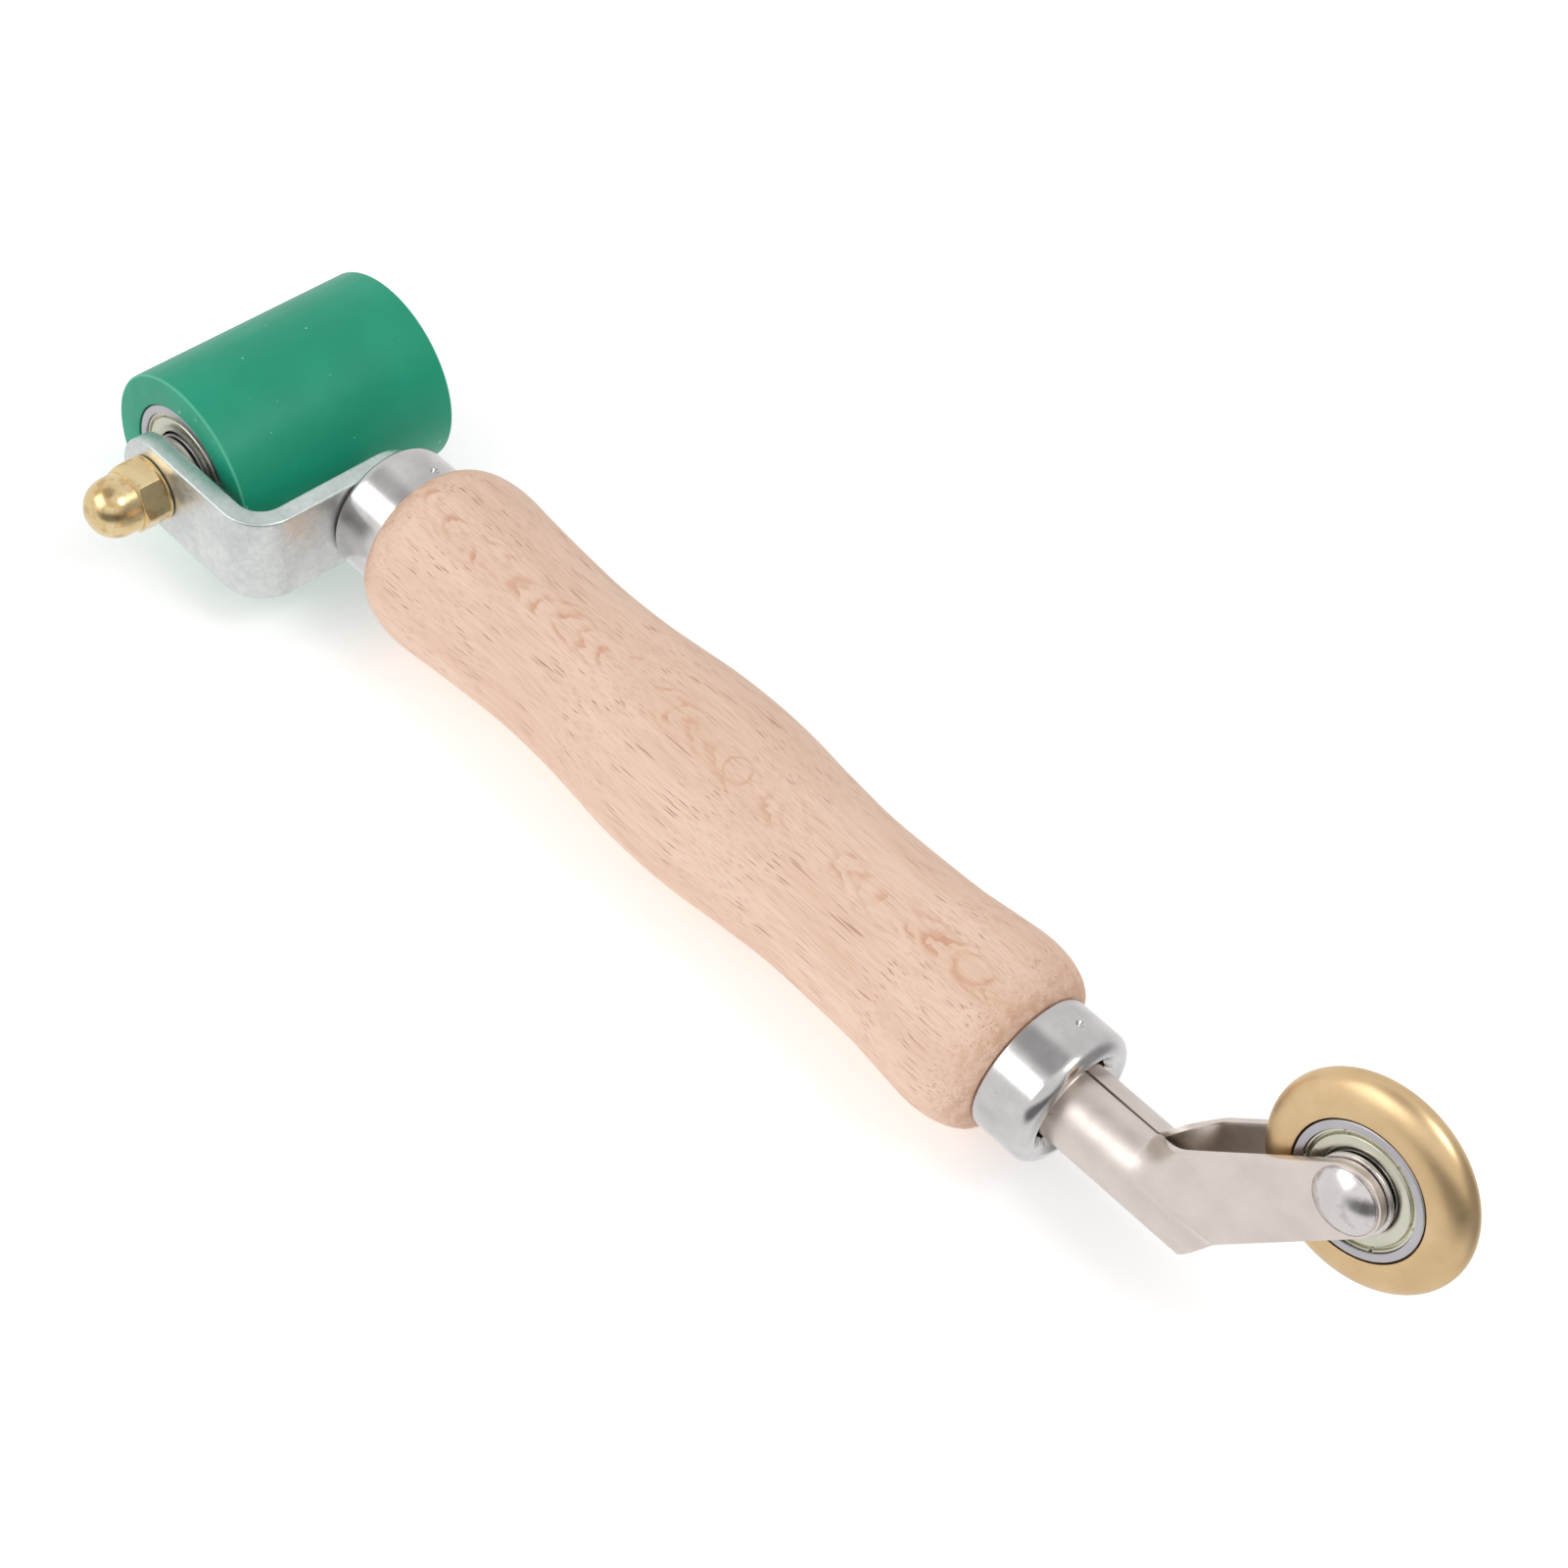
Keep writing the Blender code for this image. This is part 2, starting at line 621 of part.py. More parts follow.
def sheet_point(run, opening, inset):
    """Point of the fork's section above the crease, where the tube unrolls into a flat arm."""
    lean0 = (0.5 * math.pi - CREASE) * (1.0 - opening)
    bend = (1.0 - opening) / FORK_R
    lean = lean0 + run * bend
    if bend < 1e-6:
        y = -ARM_Y
        z = CREASE_Z + run
    else:
        y = -ARM_Y + (math.cos(lean0) - math.cos(lean)) / bend
        z = CREASE_Z + (math.sin(lean) - math.sin(lean0)) / bend
    return (y + inset * math.cos(lean), z - inset * math.sin(lean))


def lower_point(turn, inset):
    """Point of the fork's section below the crease, on the round of the tube."""
    radius = FORK_R - inset
    return (-radius * math.sin(turn), -radius * math.cos(turn))


def fork_station(x, low_steps, high_steps, inset):
    """Half section of the fork at one station, from its lowest point up to its free edge."""
    opening = smoothstep(SHANK_END, ARM_START, x)
    top_run = max(SEAM_RUN, arm_top(x) - CREASE_Z)
    points = []
    if x <= KNEE_X:
        start = 0.0
        if x > HEEL_X:
            level = -FORK_R + (CREASE_Z + FORK_R) * (x - HEEL_X) / (KNEE_X - HEEL_X)
            start = math.acos(max(-1.0, min(1.0, -level / FORK_R)))
        for i in range(low_steps):
            turn = start + (CREASE_TURN - start) * i / low_steps
            y, z = lower_point(turn, inset)
            points.append((x, y, z))
        low_run = 0.0
    else:
        low_run = arm_bottom(x) - CREASE_Z
    for i in range(high_steps + 1):
        run = low_run + (top_run - low_run) * i / high_steps
        y, z = sheet_point(run, opening, inset)
        points.append((x, y, z))
    return points


def fork_half(bm, side):
    """One half of the fork as a closed sheet, open only where it meets the other half."""
    low_steps = 7
    high_steps = 4
    shank = [HANDLE_REAR - SHANK_DEPTH, 60.0, 78.0, SHANK_END]
    opening = [88.4, 89.3, 90.2, 91.2, ARM_START, 94.6, HEEL_X]
    heel = [98.0, 99.2, 100.4, 101.4, KNEE_X]
    arm = [105.0, 108.0, 110.5, 112.5, 114.5, 116.3, 117.7]
    arm += [WHEEL_X + ARM_END_R * math.cos(math.radians(a)) for a in (44.0, 34.0, 25.0, 16.0, 8.0)]
    rows = []
    for x in shank + opening + heel + arm:
        low = low_steps if x <= KNEE_X else 0
        outer = [(px, side * py, pz) for px, py, pz in fork_station(x, low, high_steps, 0.0)]
        inner = [(px, side * py, pz) for px, py, pz in fork_station(x, low, high_steps, FORK_T)]
        rows.append((x, [bm.verts.new(p) for p in outer], [bm.verts.new(p) for p in inner]))

    def face(*verts):
        if len({v.co.to_tuple(5) for v in verts}) > 2:
            bm.faces.new(verts)

    for (x0, outer0, inner0), (x1, outer1, inner1) in zip(rows, rows[1:]):
        if len(outer0) != len(outer1):
            face(outer0[low_steps], inner0[0], inner0[low_steps])
            outer0 = outer0[low_steps:]
            inner0 = inner0[low_steps:]
        for i in range(len(outer0) - 1):
            face(outer0[i], outer0[i + 1], outer1[i + 1], outer1[i])
            face(inner0[i], inner1[i], inner1[i + 1], inner0[i + 1])
        face(outer0[-1], inner0[-1], inner1[-1], outer1[-1])
        if x1 > HEEL_X:
            face(outer0[0], outer1[0], inner1[0], inner0[0])
    for x, outer, inner in (rows[0], rows[-1]):
        for i in range(len(outer) - 1):
            face(outer[i], inner[i], inner[i + 1], outer[i + 1])


def fork():
    """One-piece pressed fork: split-tube shank, mitred heel, two parallel arms."""
    bm = bmesh.new()
    fork_half(bm, 1.0)
    fork_half(bm, -1.0)
    obj = add_object("fork", bm, (NICKEL, 0.36, 1.0), turn=fork_turn())
    place = fork_turn() @ Matrix.Translation((WHEEL_X, 0.0, WHEEL_Z))
    cutter = cylinder_cutter("rivet_hole_cutter", RIVET_HOLE_R, -9.0, 9.0, on_y, turn=place)
    cut(obj, cutter)


def wheel_origin():
    """Centre of the brass wheel."""
    return fork_turn() @ Vector((WHEEL_X, 0.0, WHEEL_Z))


def brass_wheel():
    """Solid brass tyre with an elliptical rim, bored for its bearing."""
    bore = SMALL_OUTER_R + FIT
    flat = bore + 0.5
    profile = [(-WHEEL_HALF, bore), (-WHEEL_HALF, flat)]
    steps = 10
    for i in range(1, steps):
        angle = math.radians(-90.0 + 180.0 * i / steps)
        profile.append((WHEEL_HALF * math.sin(angle), flat + (WHEEL_R - flat) * math.cos(angle)))
    profile += [(WHEEL_HALF, flat), (WHEEL_HALF, bore)]
    bm = revolve(profile, FINE, on_y, True)
    add_object("brass_wheel", bm, (BRASS, 0.36, 1.0), wheel_origin(), fork_turn())


def rivet():
    """Wheel rivet: domed head outside the left arm, peened end outside the right arm."""
    left = -ARM_Y - 0.1
    right = ARM_Y + 0.15
    radius = (RIVET_HEAD_R ** 2 + RIVET_HEAD_H ** 2) / (2.0 * RIVET_HEAD_H)
    reach = math.degrees(math.asin(RIVET_HEAD_R / radius))
    dome = arc(left - RIVET_HEAD_H + radius, 0.0, radius, 180.0, 180.0 - reach, 6)
    dome[0] = (dome[0][0], 0.0)
    profile = dome + [(left, RIVET_R), (right, RIVET_R), (right, 4.0)]
    profile += [(right + 0.7, 3.8), (right + 1.2, 3.0), (right + 1.3, 0.0)]
    bm = revolve(profile, COARSE, on_y)
    add_object("wheel_rivet", bm, (POLISHED, 0.16, 1.0), wheel_origin(), fork_turn())


def build():
    """Make every piece in its place."""
    clear_scene()
    roller_at = (ROLLER_X, 0.0, 0.0)
    l_bracket()
    tang()
    ferrule_front()
    handle()
    ferrule_rear()
    fork()
    silicone_sleeve()
    roller_core()
    centre_left = ROLLER_LEFT + BEARING_INSET + BIG_HALF
    centre_right = ROLLER_RIGHT - BEARING_INSET - BIG_HALF
    big_bearing("left_bearing", centre_left)
    big_bearing("right_bearing", centre_right)
    tube_left = centre_left + BIG_HALF + GAP
    tube_right = centre_right - BIG_HALF - GAP
    steel = (STEEL, 0.35, 1.0)
    ring_on_y("spacer_tube", BIG_BORE_R, 5.4, tube_left, tube_right, steel, roller_at)
    arm_in = ARM_OUT_Y + STRAP_T
    ring_on_y("arm_spacer", BIG_BORE_R, 5.9, arm_in + FIT, ROLLER_LEFT + BEARING_INSET - GAP,
              steel, roller_at)
    ring_on_y("head_washer", BIG_BORE_R, 6.2, ROLLER_RIGHT - BEARING_INSET + FIT,
              ROLLER_RIGHT + 0.75, steel, roller_at)
    axle_bolt()
    cap_nut()
    brass_wheel()
    small_bearing("wheel_bearing", wheel_origin(), fork_turn())
    washer_in = SMALL_HALF + 0.25
    washer_out = ARM_Y - FORK_T - 0.2
    polished = (POLISHED, 0.22, 1.0)
    ring_on_y("washer_left", SMALL_BORE_R, RIVET_WASHER_R, -washer_out, -washer_in, polished,
              wheel_origin(), fork_turn())
    ring_on_y("washer_right", SMALL_BORE_R, RIVET_WASHER_R, washer_in, washer_out, polished,
              wheel_origin(), fork_turn())
    rivet()


build()
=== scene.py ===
"""Looks of the seam roller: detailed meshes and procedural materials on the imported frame."""

import math

import bmesh
import bpy
from mathutils import Matrix, Vector


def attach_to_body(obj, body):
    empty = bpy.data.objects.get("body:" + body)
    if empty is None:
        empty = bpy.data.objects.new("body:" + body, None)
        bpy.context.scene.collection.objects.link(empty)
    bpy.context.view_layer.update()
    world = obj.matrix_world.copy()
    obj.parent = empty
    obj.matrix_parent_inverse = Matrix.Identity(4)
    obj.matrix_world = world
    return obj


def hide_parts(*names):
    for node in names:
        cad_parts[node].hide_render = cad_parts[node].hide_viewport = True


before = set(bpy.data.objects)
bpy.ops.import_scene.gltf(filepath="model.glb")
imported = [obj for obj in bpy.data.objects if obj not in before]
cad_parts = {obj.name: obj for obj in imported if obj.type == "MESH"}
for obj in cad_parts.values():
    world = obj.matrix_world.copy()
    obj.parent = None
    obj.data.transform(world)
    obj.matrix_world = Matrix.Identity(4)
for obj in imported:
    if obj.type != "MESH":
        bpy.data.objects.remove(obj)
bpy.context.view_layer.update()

MM = 0.001

# Roller end, in millimetres like every length below
ROLLER_X = -92.4
ROLLER_R = 16.0
ROLLER_LEFT = -20.15
ROLLER_RIGHT = 19.85
ARM_OUT_Y = -25.5
STRAP_T = 3.2
STRAP_HALF = 7.8
PLATE_REAR_X = -68.0
BEND_OUT_R = 7.25
NUT_AF = 10.0
NUT_HEIGHT = 11.9
NUT_TURN = 57.0
NUT_DOME_R = 4.75
SLEEVE_BORE_R = 11.1
SLEEVE_SEAT_R = 12.8
SLEEVE_LIP = 1.2
BEARING_INSET = 3.7

# Ball bearings: outer radius, half width, ball pitch, race, outer land, shield seat, bore,
# inner land
ROLLER_BEARING = (11.0, 3.5, 7.5, 2.10, 9.0, 9.6, 4.05, 6.1)
WHEEL_BEARING = (9.5, 3.0, 6.25, 1.85, 7.6, 8.3, 3.05, 4.9)

# Handle and ferrules
HANDLE_FRONT = -58.8
HANDLE_REAR = 66.1
FERRULE_R = 10.62
FERRULE_T = 0.85
FERRULE_FRONT_END = -67.7
FERRULE_REAR_END = 75.6
CUP_HOLE_R = 4.3
STAKE_TURN = 72.0
STAKE_DEPTH = 0.75
STAKE_FRONT_X = -61.2
STAKE_REAR_X = 70.6
SPIGOT_R = 9.45
SPIGOT_FRONT = -66.5
SPIGOT_REAR = 71.7
TANG_HOLE_R = 4.2
TANG_HOLE_END = -13.5
SHANK_HOLE_R = 6.23
SHANK_HOLE_END = 41.8
HANDLE_CURVE = (
    (-58.8, 11.10), (-58.4, 12.00), (-57.3, 13.05), (-55.4, 13.95), (-53.0, 14.50),
    (-50.0, 14.68), (-43.3, 14.16), (-36.6, 13.67), (-26.7, 13.22), (-17.0, 13.50),
    (-10.5, 14.08), (-4.2, 14.68), (4.0, 14.96), (11.3, 14.70), (20.2, 13.83),
    (29.0, 13.22), (37.7, 13.27), (46.3, 13.55), (52.0, 14.13), (57.5, 14.60),
    (60.8, 14.35), (63.4, 13.60), (65.2, 12.50), (66.1, 11.10),
)
# Eyes in the beech's ring figure: place along the handle and size, in metres
RING_EYES = ((0.0572, 0.0031), (0.0128, 0.0023))

# Fork and wheel
FORK_TWIST = -9.86
FORK_R = 6.03
FORK_T = 1.25
SEAM_HALF = 0.25
ARM_Y = 5.40
ARM_END_R = 5.05
ARM_TOP_SLOPE = 42.6
SHANK_START = 42.1
SHANK_END = 87.3
ARM_START = 93.4
OPENING_EASE = 0.68
TOP_EASE = 1.0
HEEL_X = 97.0
KNEE_X = 102.3
WHEEL_X = 114.56
WHEEL_Z = 24.02
WHEEL_R = 15.0
WHEEL_HALF = 3.0
WASHER_IN_Y = 3.25
WASHER_BORE_R = 3.05
RIVET_WASHER_R = 5.55
RIVET_HEAD_R = 4.66
RIVET_HEAD_H = 2.0
CREASE = math.asin(ARM_Y / FORK_R)
CREASE_Z = FORK_R * math.cos(CREASE)
SEAM_RUN = FORK_R * CREASE - SEAM_HALF

# Places of the turning axes
TOOL_AT = Matrix.Identity(4)
FORK_AT = Matrix.Rotation(math.radians(FORK_TWIST), 4, "X")
ROLLER_AT = Matrix.Translation((ROLLER_X * MM, 0.0, 0.0))
WHEEL_AT = FORK_AT @ Matrix.Translation((WHEEL_X * MM, 0.0, WHEEL_Z * MM))

# Studio, in metres. A light is its place, its two sides and its watts
KEY_LIGHT = ((-0.40, -0.70, 0.55), (0.75, 0.5), 1.50)
TOP_LIGHT = ((0.42, 0.10, 0.72), (0.30, 0.30), 1.2)
WORLD_STRENGTH = 0.86
# Darker patches of the bright world: direction, vertical squash, distance at which a patch ends,
# distance up to which it is darkest, and the share of light kept there
WORLD_PATCHES = (
    ((0.64, -0.77, 0.02), 2.6, 1.00, 0.50, 0.20),
    ((-0.30, -0.13, 0.95), 1.0, 0.50, 0.22, 0.50),
    ((0.88, 0.42, 0.02), 1.0, 1.00, 0.40, 0.38),
    ((-0.10, 0.62, 0.30), 1.0, 1.20, 0.30, 0.85),
)
FLOOR_Z = -0.0165
FLOOR_GLOW = 0.32
CAMERA_LENS = 70.5696
CAMERA_SHIFT = (0.04, -0.03)
CAMERA_AT = (0.1938576, -0.2147622, 0.3281813)
CAMERA_TURN = (0.84986565, 0.34316337, 0.10398688, 0.38620461)


# ---------------------------------------------------------------- meshes


def make_piece(name, bm, place, material, sharp=38.0):
    """Turn a bmesh in millimetres into a shaded object at its place."""
    bmesh.ops.remove_doubles(bm, verts=bm.verts, dist=0.0005)
    bmesh.ops.recalc_face_normals(bm, faces=bm.faces)
    mesh = bpy.data.meshes.new(name)
    bm.to_mesh(mesh)
    bm.free()
    mesh.transform(Matrix.Scale(MM, 4))
    mesh.shade_smooth()
    mesh.set_sharp_from_angle(angle=math.radians(sharp))
    obj = bpy.data.objects.new(name, mesh)
    obj.matrix_world = place
    bpy.context.scene.collection.objects.link(obj)
    if material is not None:
        mesh.materials.append(material)
    return obj


def freeze(obj, sharp=38.0):
    """Apply an object's modifiers and shade it again."""
    bpy.context.view_layer.update()
    graph = bpy.context.evaluated_depsgraph_get()
    mesh = bpy.data.meshes.new_from_object(obj.evaluated_get(graph))
    obj.modifiers.clear()
    obj.data = mesh
    mesh.shade_smooth()
    mesh.set_sharp_from_angle(angle=math.radians(sharp))


def drill(obj, radius, start, end, axis, place):
    """Cut a round hole through a piece."""
    profile = [(start, 0.0), (start, radius), (end, radius), (end, 0.0)]
    cutter = make_piece(obj.name + "_cutter", lathe(profile, 64, axis), place, None)
    modifier = obj.modifiers.new("hole", "BOOLEAN")
    modifier.operation = "DIFFERENCE"
    modifier.solver = "EXACT"
    modifier.object = cutter
    freeze(obj)
    bpy.data.objects.remove(cutter, do_unlink=True)


def attach(obj, body, slot, *nodes):
    """Let a piece ride on a body and stand for its CAD nodes."""
    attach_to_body(obj, body)
    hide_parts(*nodes)
    return obj


def skin(rings, loop=False):
    """Join point rings with faces. A ring of one point is a pole."""
    bm = bmesh.new()
    rows = [[bm.verts.new(point) for point in ring] for ring in rings]
    pairs = list(zip(rows, rows[1:]))
    if loop:
        pairs.append((rows[-1], rows[0]))
    for first, second in pairs:
        count = max(len(first), len(second))
        for i in range(count if count > 1 else 0):
            j = (i + 1) % count
            if len(first) == 1:
                bm.faces.new((first[0], second[i], second[j]))
            elif len(second) == 1:
                bm.faces.new((first[i], second[0], first[j]))
            else:
                bm.faces.new((first[i], second[i], second[j], first[j]))
    return bm


def lathe(profile, segments, axis, loop=False, shape=None):
    """Body of revolution from (along, radius) points. shape moves a point by its angle."""
    rings = []
    for along, radius in profile:
        ring = []
        for i in range(segments if radius > 1e-6 else 1):
            angle = 2.0 * math.pi * i / segments
            a, r = shape(along, radius, angle) if shape else (along, radius)
            u = r * math.cos(angle)
            v = r * math.sin(angle)
            ring.append((a, u, v) if axis == "X" else (u, a, v))
        rings.append(ring)
    return skin(rings, loop)


def fillet(corners, loop=False):
    """Round the corners of an (along, radius, fillet) outline."""
    count = len(corners)
    profile = []
    for i, (a, r, size) in enumerate(corners):
        inner = loop or 0 < i < count - 1
        if size <= 0.0 or not inner:
            profile.append((a, r))
            continue
        here = Vector((a, r))
        to_last = (Vector(corners[i - 1][:2]) - here).normalized()
        to_next = (Vector(corners[(i + 1) % count][:2]) - here).normalized()
        half = 0.5 * to_last.angle(to_next)
        if half > math.radians(88.0):
            profile.append((a, r))
            continue
        centre = here + (to_last + to_next).normalized() * (size / math.sin(half))
        reach = size / math.tan(half)
        first = here + to_last * reach - centre
        last = here + to_next * reach - centre
        sweep = first.angle_signed(last)
        steps = max(2, int(abs(math.degrees(sweep)) / 14.0))
        for k in range(steps + 1):
            turned = first.copy()
            turned.rotate(Matrix.Rotation(-sweep * k / steps, 2))
            profile.append(tuple(centre + turned))
    return profile


def spaced(start, end, step):
    """Evenly spaced numbers from start to end."""
    count = max(1, int(round(abs(end - start) / step)))
    return [start + (end - start) * i / count for i in range(count + 1)]


def smoothstep(low, high, value):
    """Ease from 0 to 1 between two limits."""
    t = min(1.0, max(0.0, (value - low) / (high - low)))
    return t * t * (3.0 - 2.0 * t)


def turn_between(first, second):
    """Smallest angle from one direction to another, in radians."""
    return (first - second + math.pi) % (2.0 * math.pi) - math.pi


# ---------------------------------------------------------------- materials


class Look:
    """A Principled material put together node by node."""

    def __init__(self, name, metallic=0.0, roughness=0.5):
        self.mat = bpy.data.materials.new(name)
        self.mat.use_nodes = True
        self.tree = self.mat.node_tree
        self.shader = self.tree.nodes["Principled BSDF"]
        self.shader.inputs["Metallic"].default_value = metallic
        self.shader.inputs["Roughness"].default_value = roughness
        self.place = self.add("ShaderNodeTexCoord").outputs["Object"]

    def add(self, kind, **settings):
        node = self.tree.nodes.new(kind)
        for key, value in settings.items():
            setattr(node, key, value)
        return node

    def put(self, socket, value):
        """Link a socket or set its value."""
        if isinstance(value, bpy.types.NodeSocket):
            self.tree.links.new(value, socket)
        elif value is not None:
            socket.default_value = value

    def scaled(self, size, turn=(0.0, 0.0, 0.0)):
        """Object coordinates stretched and turned."""
        node = self.add("ShaderNodeMapping")
        self.put(node.inputs["Vector"], self.place)
        node.inputs["Scale"].default_value = size
        node.inputs["Rotation"].default_value = [math.radians(a) for a in turn]
        return node.outputs["Vector"]

    def noise(self, vector, scale=1.0, detail=3.0, rough=0.5, w=None):
        node = self.add("ShaderNodeTexNoise", noise_dimensions="4D" if w is not None else "3D")
        self.put(node.inputs["Vector"], vector)
        node.inputs["Scale"].default_value = scale
        node.inputs["Detail"].default_value = detail
        node.inputs["Roughness"].default_value = rough
        if w is not None:
            self.put(node.inputs["W"], w)
        return node.outputs[0]

    def cells(self, vector, scale=1.0):
        """Distance to the nearest point of a random cloud, and that point's random number."""
        node = self.add("ShaderNodeTexVoronoi")
        self.put(node.inputs["Vector"], vector)
        node.inputs["Scale"].default_value = scale
        split = self.add("ShaderNodeSeparateXYZ")
        self.put(split.inputs[0], node.outputs["Color"])
        return node.outputs["Distance"], split.outputs[0]

    def math(self, operation, a, b=None):
        node = self.add("ShaderNodeMath", operation=operation)
        self.put(node.inputs[0], a)
        self.put(node.inputs[1], b)
        return node.outputs[0]

    def span(self, value, low, high, to_low=0.0, to_high=1.0):
        """Map a value smoothly from one range to another."""
        node = self.add("ShaderNodeMapRange", interpolation_type="SMOOTHSTEP")
        for i, item in enumerate((value, low, high, to_low, to_high)):
            self.put(node.inputs[i], item)
        return node.outputs[0]

    def mix(self, factor, a, b):
        node = self.add("ShaderNodeMix", data_type="RGBA")
        self.put(node.inputs[0], factor)
        self.put(node.inputs[6], a)
        self.put(node.inputs[7], b)
        return node.outputs[2]

    def parts(self, vector=None):
        """The three coordinates on their own."""
        node = self.add("ShaderNodeSeparateXYZ")
        self.put(node.inputs[0], self.place if vector is None else vector)
        return node.outputs[0], node.outputs[1], node.outputs[2]

    def joined(self, x, y, z):
        node = self.add("ShaderNodeCombineXYZ")
        for i, item in enumerate((x, y, z)):
            self.put(node.inputs[i], item)
        return node.outputs[0]

    def turned_noise(self, axis, fine, around, detail=2.0):
        """Noise drawn out round an axis, as lathe and grinding marks are."""
        x, y, z = self.parts()
        along, u, v = (x, y, z) if axis == "X" else (y, x, z)
        radius = self.math("SQRT", self.math("ADD", self.math("MULTIPLY", u, u),
                                             self.math("MULTIPLY", v, v)))
        safe = self.math("MAXIMUM", radius, 0.0001)
        cosine = self.math("MULTIPLY", self.math("DIVIDE", u, safe), around)
        sine = self.math("MULTIPLY", self.math("DIVIDE", v, safe), around)
        where = self.joined(self.math("MULTIPLY", radius, fine),
                            self.math("MULTIPLY", along, fine), cosine)
        return self.noise(where, 1.0, detail, 0.6, sine)

    def colour(self, value):
        self.put(self.shader.inputs["Base Color"], value)

    def rough(self, value):
        self.put(self.shader.inputs["Roughness"], value)

    def bump(self, *layers):
        """Stack (height, distance in millimetres) layers of relief."""
        normal = None
        for height, distance in layers:
            node = self.add("ShaderNodeBump")
            node.inputs["Strength"].default_value = 1.0
            node.inputs["Distance"].default_value = distance * MM
            self.put(node.inputs["Height"], height)
            self.put(node.inputs["Normal"], normal)
            normal = node.outputs["Normal"]
        self.put(self.shader.inputs["Normal"], normal)


def rgb(red, green, blue):
    """Linear colour from 0-255 screen values."""
    def linear(value):
        value /= 255.0
        return value / 12.92 if value <= 0.04045 else ((value + 0.055) / 1.055) ** 2.4
    return (linear(red), linear(green), linear(blue), 1.0)


def silicone_look():
    """Satin green silicone with faint cloudiness, a few specks of dust and painted rim highlights.
    """
    look = Look("silicone_rubber", 0.0, 0.4)
    cloud = look.noise(look.place, 90.0, 4.0)
    base = look.mix(look.span(cloud, 0.3, 0.7), rgb(16, 151, 117), rgb(22, 159, 125))
    x, y, z = look.parts()
    radius = look.math("SQRT", look.math("ADD", look.math("MULTIPLY", x, x),
                                         look.math("MULTIPLY", z, z)))
    # Painted highlight along each rim's rounded edge: the mask below lightens the green there
    # A rim's edge is 16 mm from the axis and 20 mm from the sleeve's middle, 36 mm together
    end = look.math("ABSOLUTE", look.math("SUBTRACT", y, -0.00015))
    corner = look.math("ADD", radius, end)
    rim = look.span(corner, 0.03555, 0.03585)
    base = look.mix(look.math("MULTIPLY", rim, 0.55), base, rgb(120, 214, 175))
    distance, number = look.cells(look.place, 450.0)
    size = look.math("MULTIPLY", look.span(number, 0.4, 1.0), 0.12)
    speck = look.math("LESS_THAN", distance, size)
    look.colour(look.mix(look.math("MULTIPLY", speck, 0.5), base, rgb(180, 224, 204)))
    smear = look.noise(look.scaled((400.0, 60.0, 400.0)), 1.0, 3.0)
    look.rough(look.span(smear, 0.25, 0.75, 0.36, 0.47))
    grain = look.noise(look.place, 4200.0, 2.0)
    wave = look.turned_noise("Y", 700.0, 1.5)
    look.bump((grain, 0.006), (wave, 0.012))
    look.shader.inputs["Specular IOR Level"].default_value = 0.42
    return look.mat


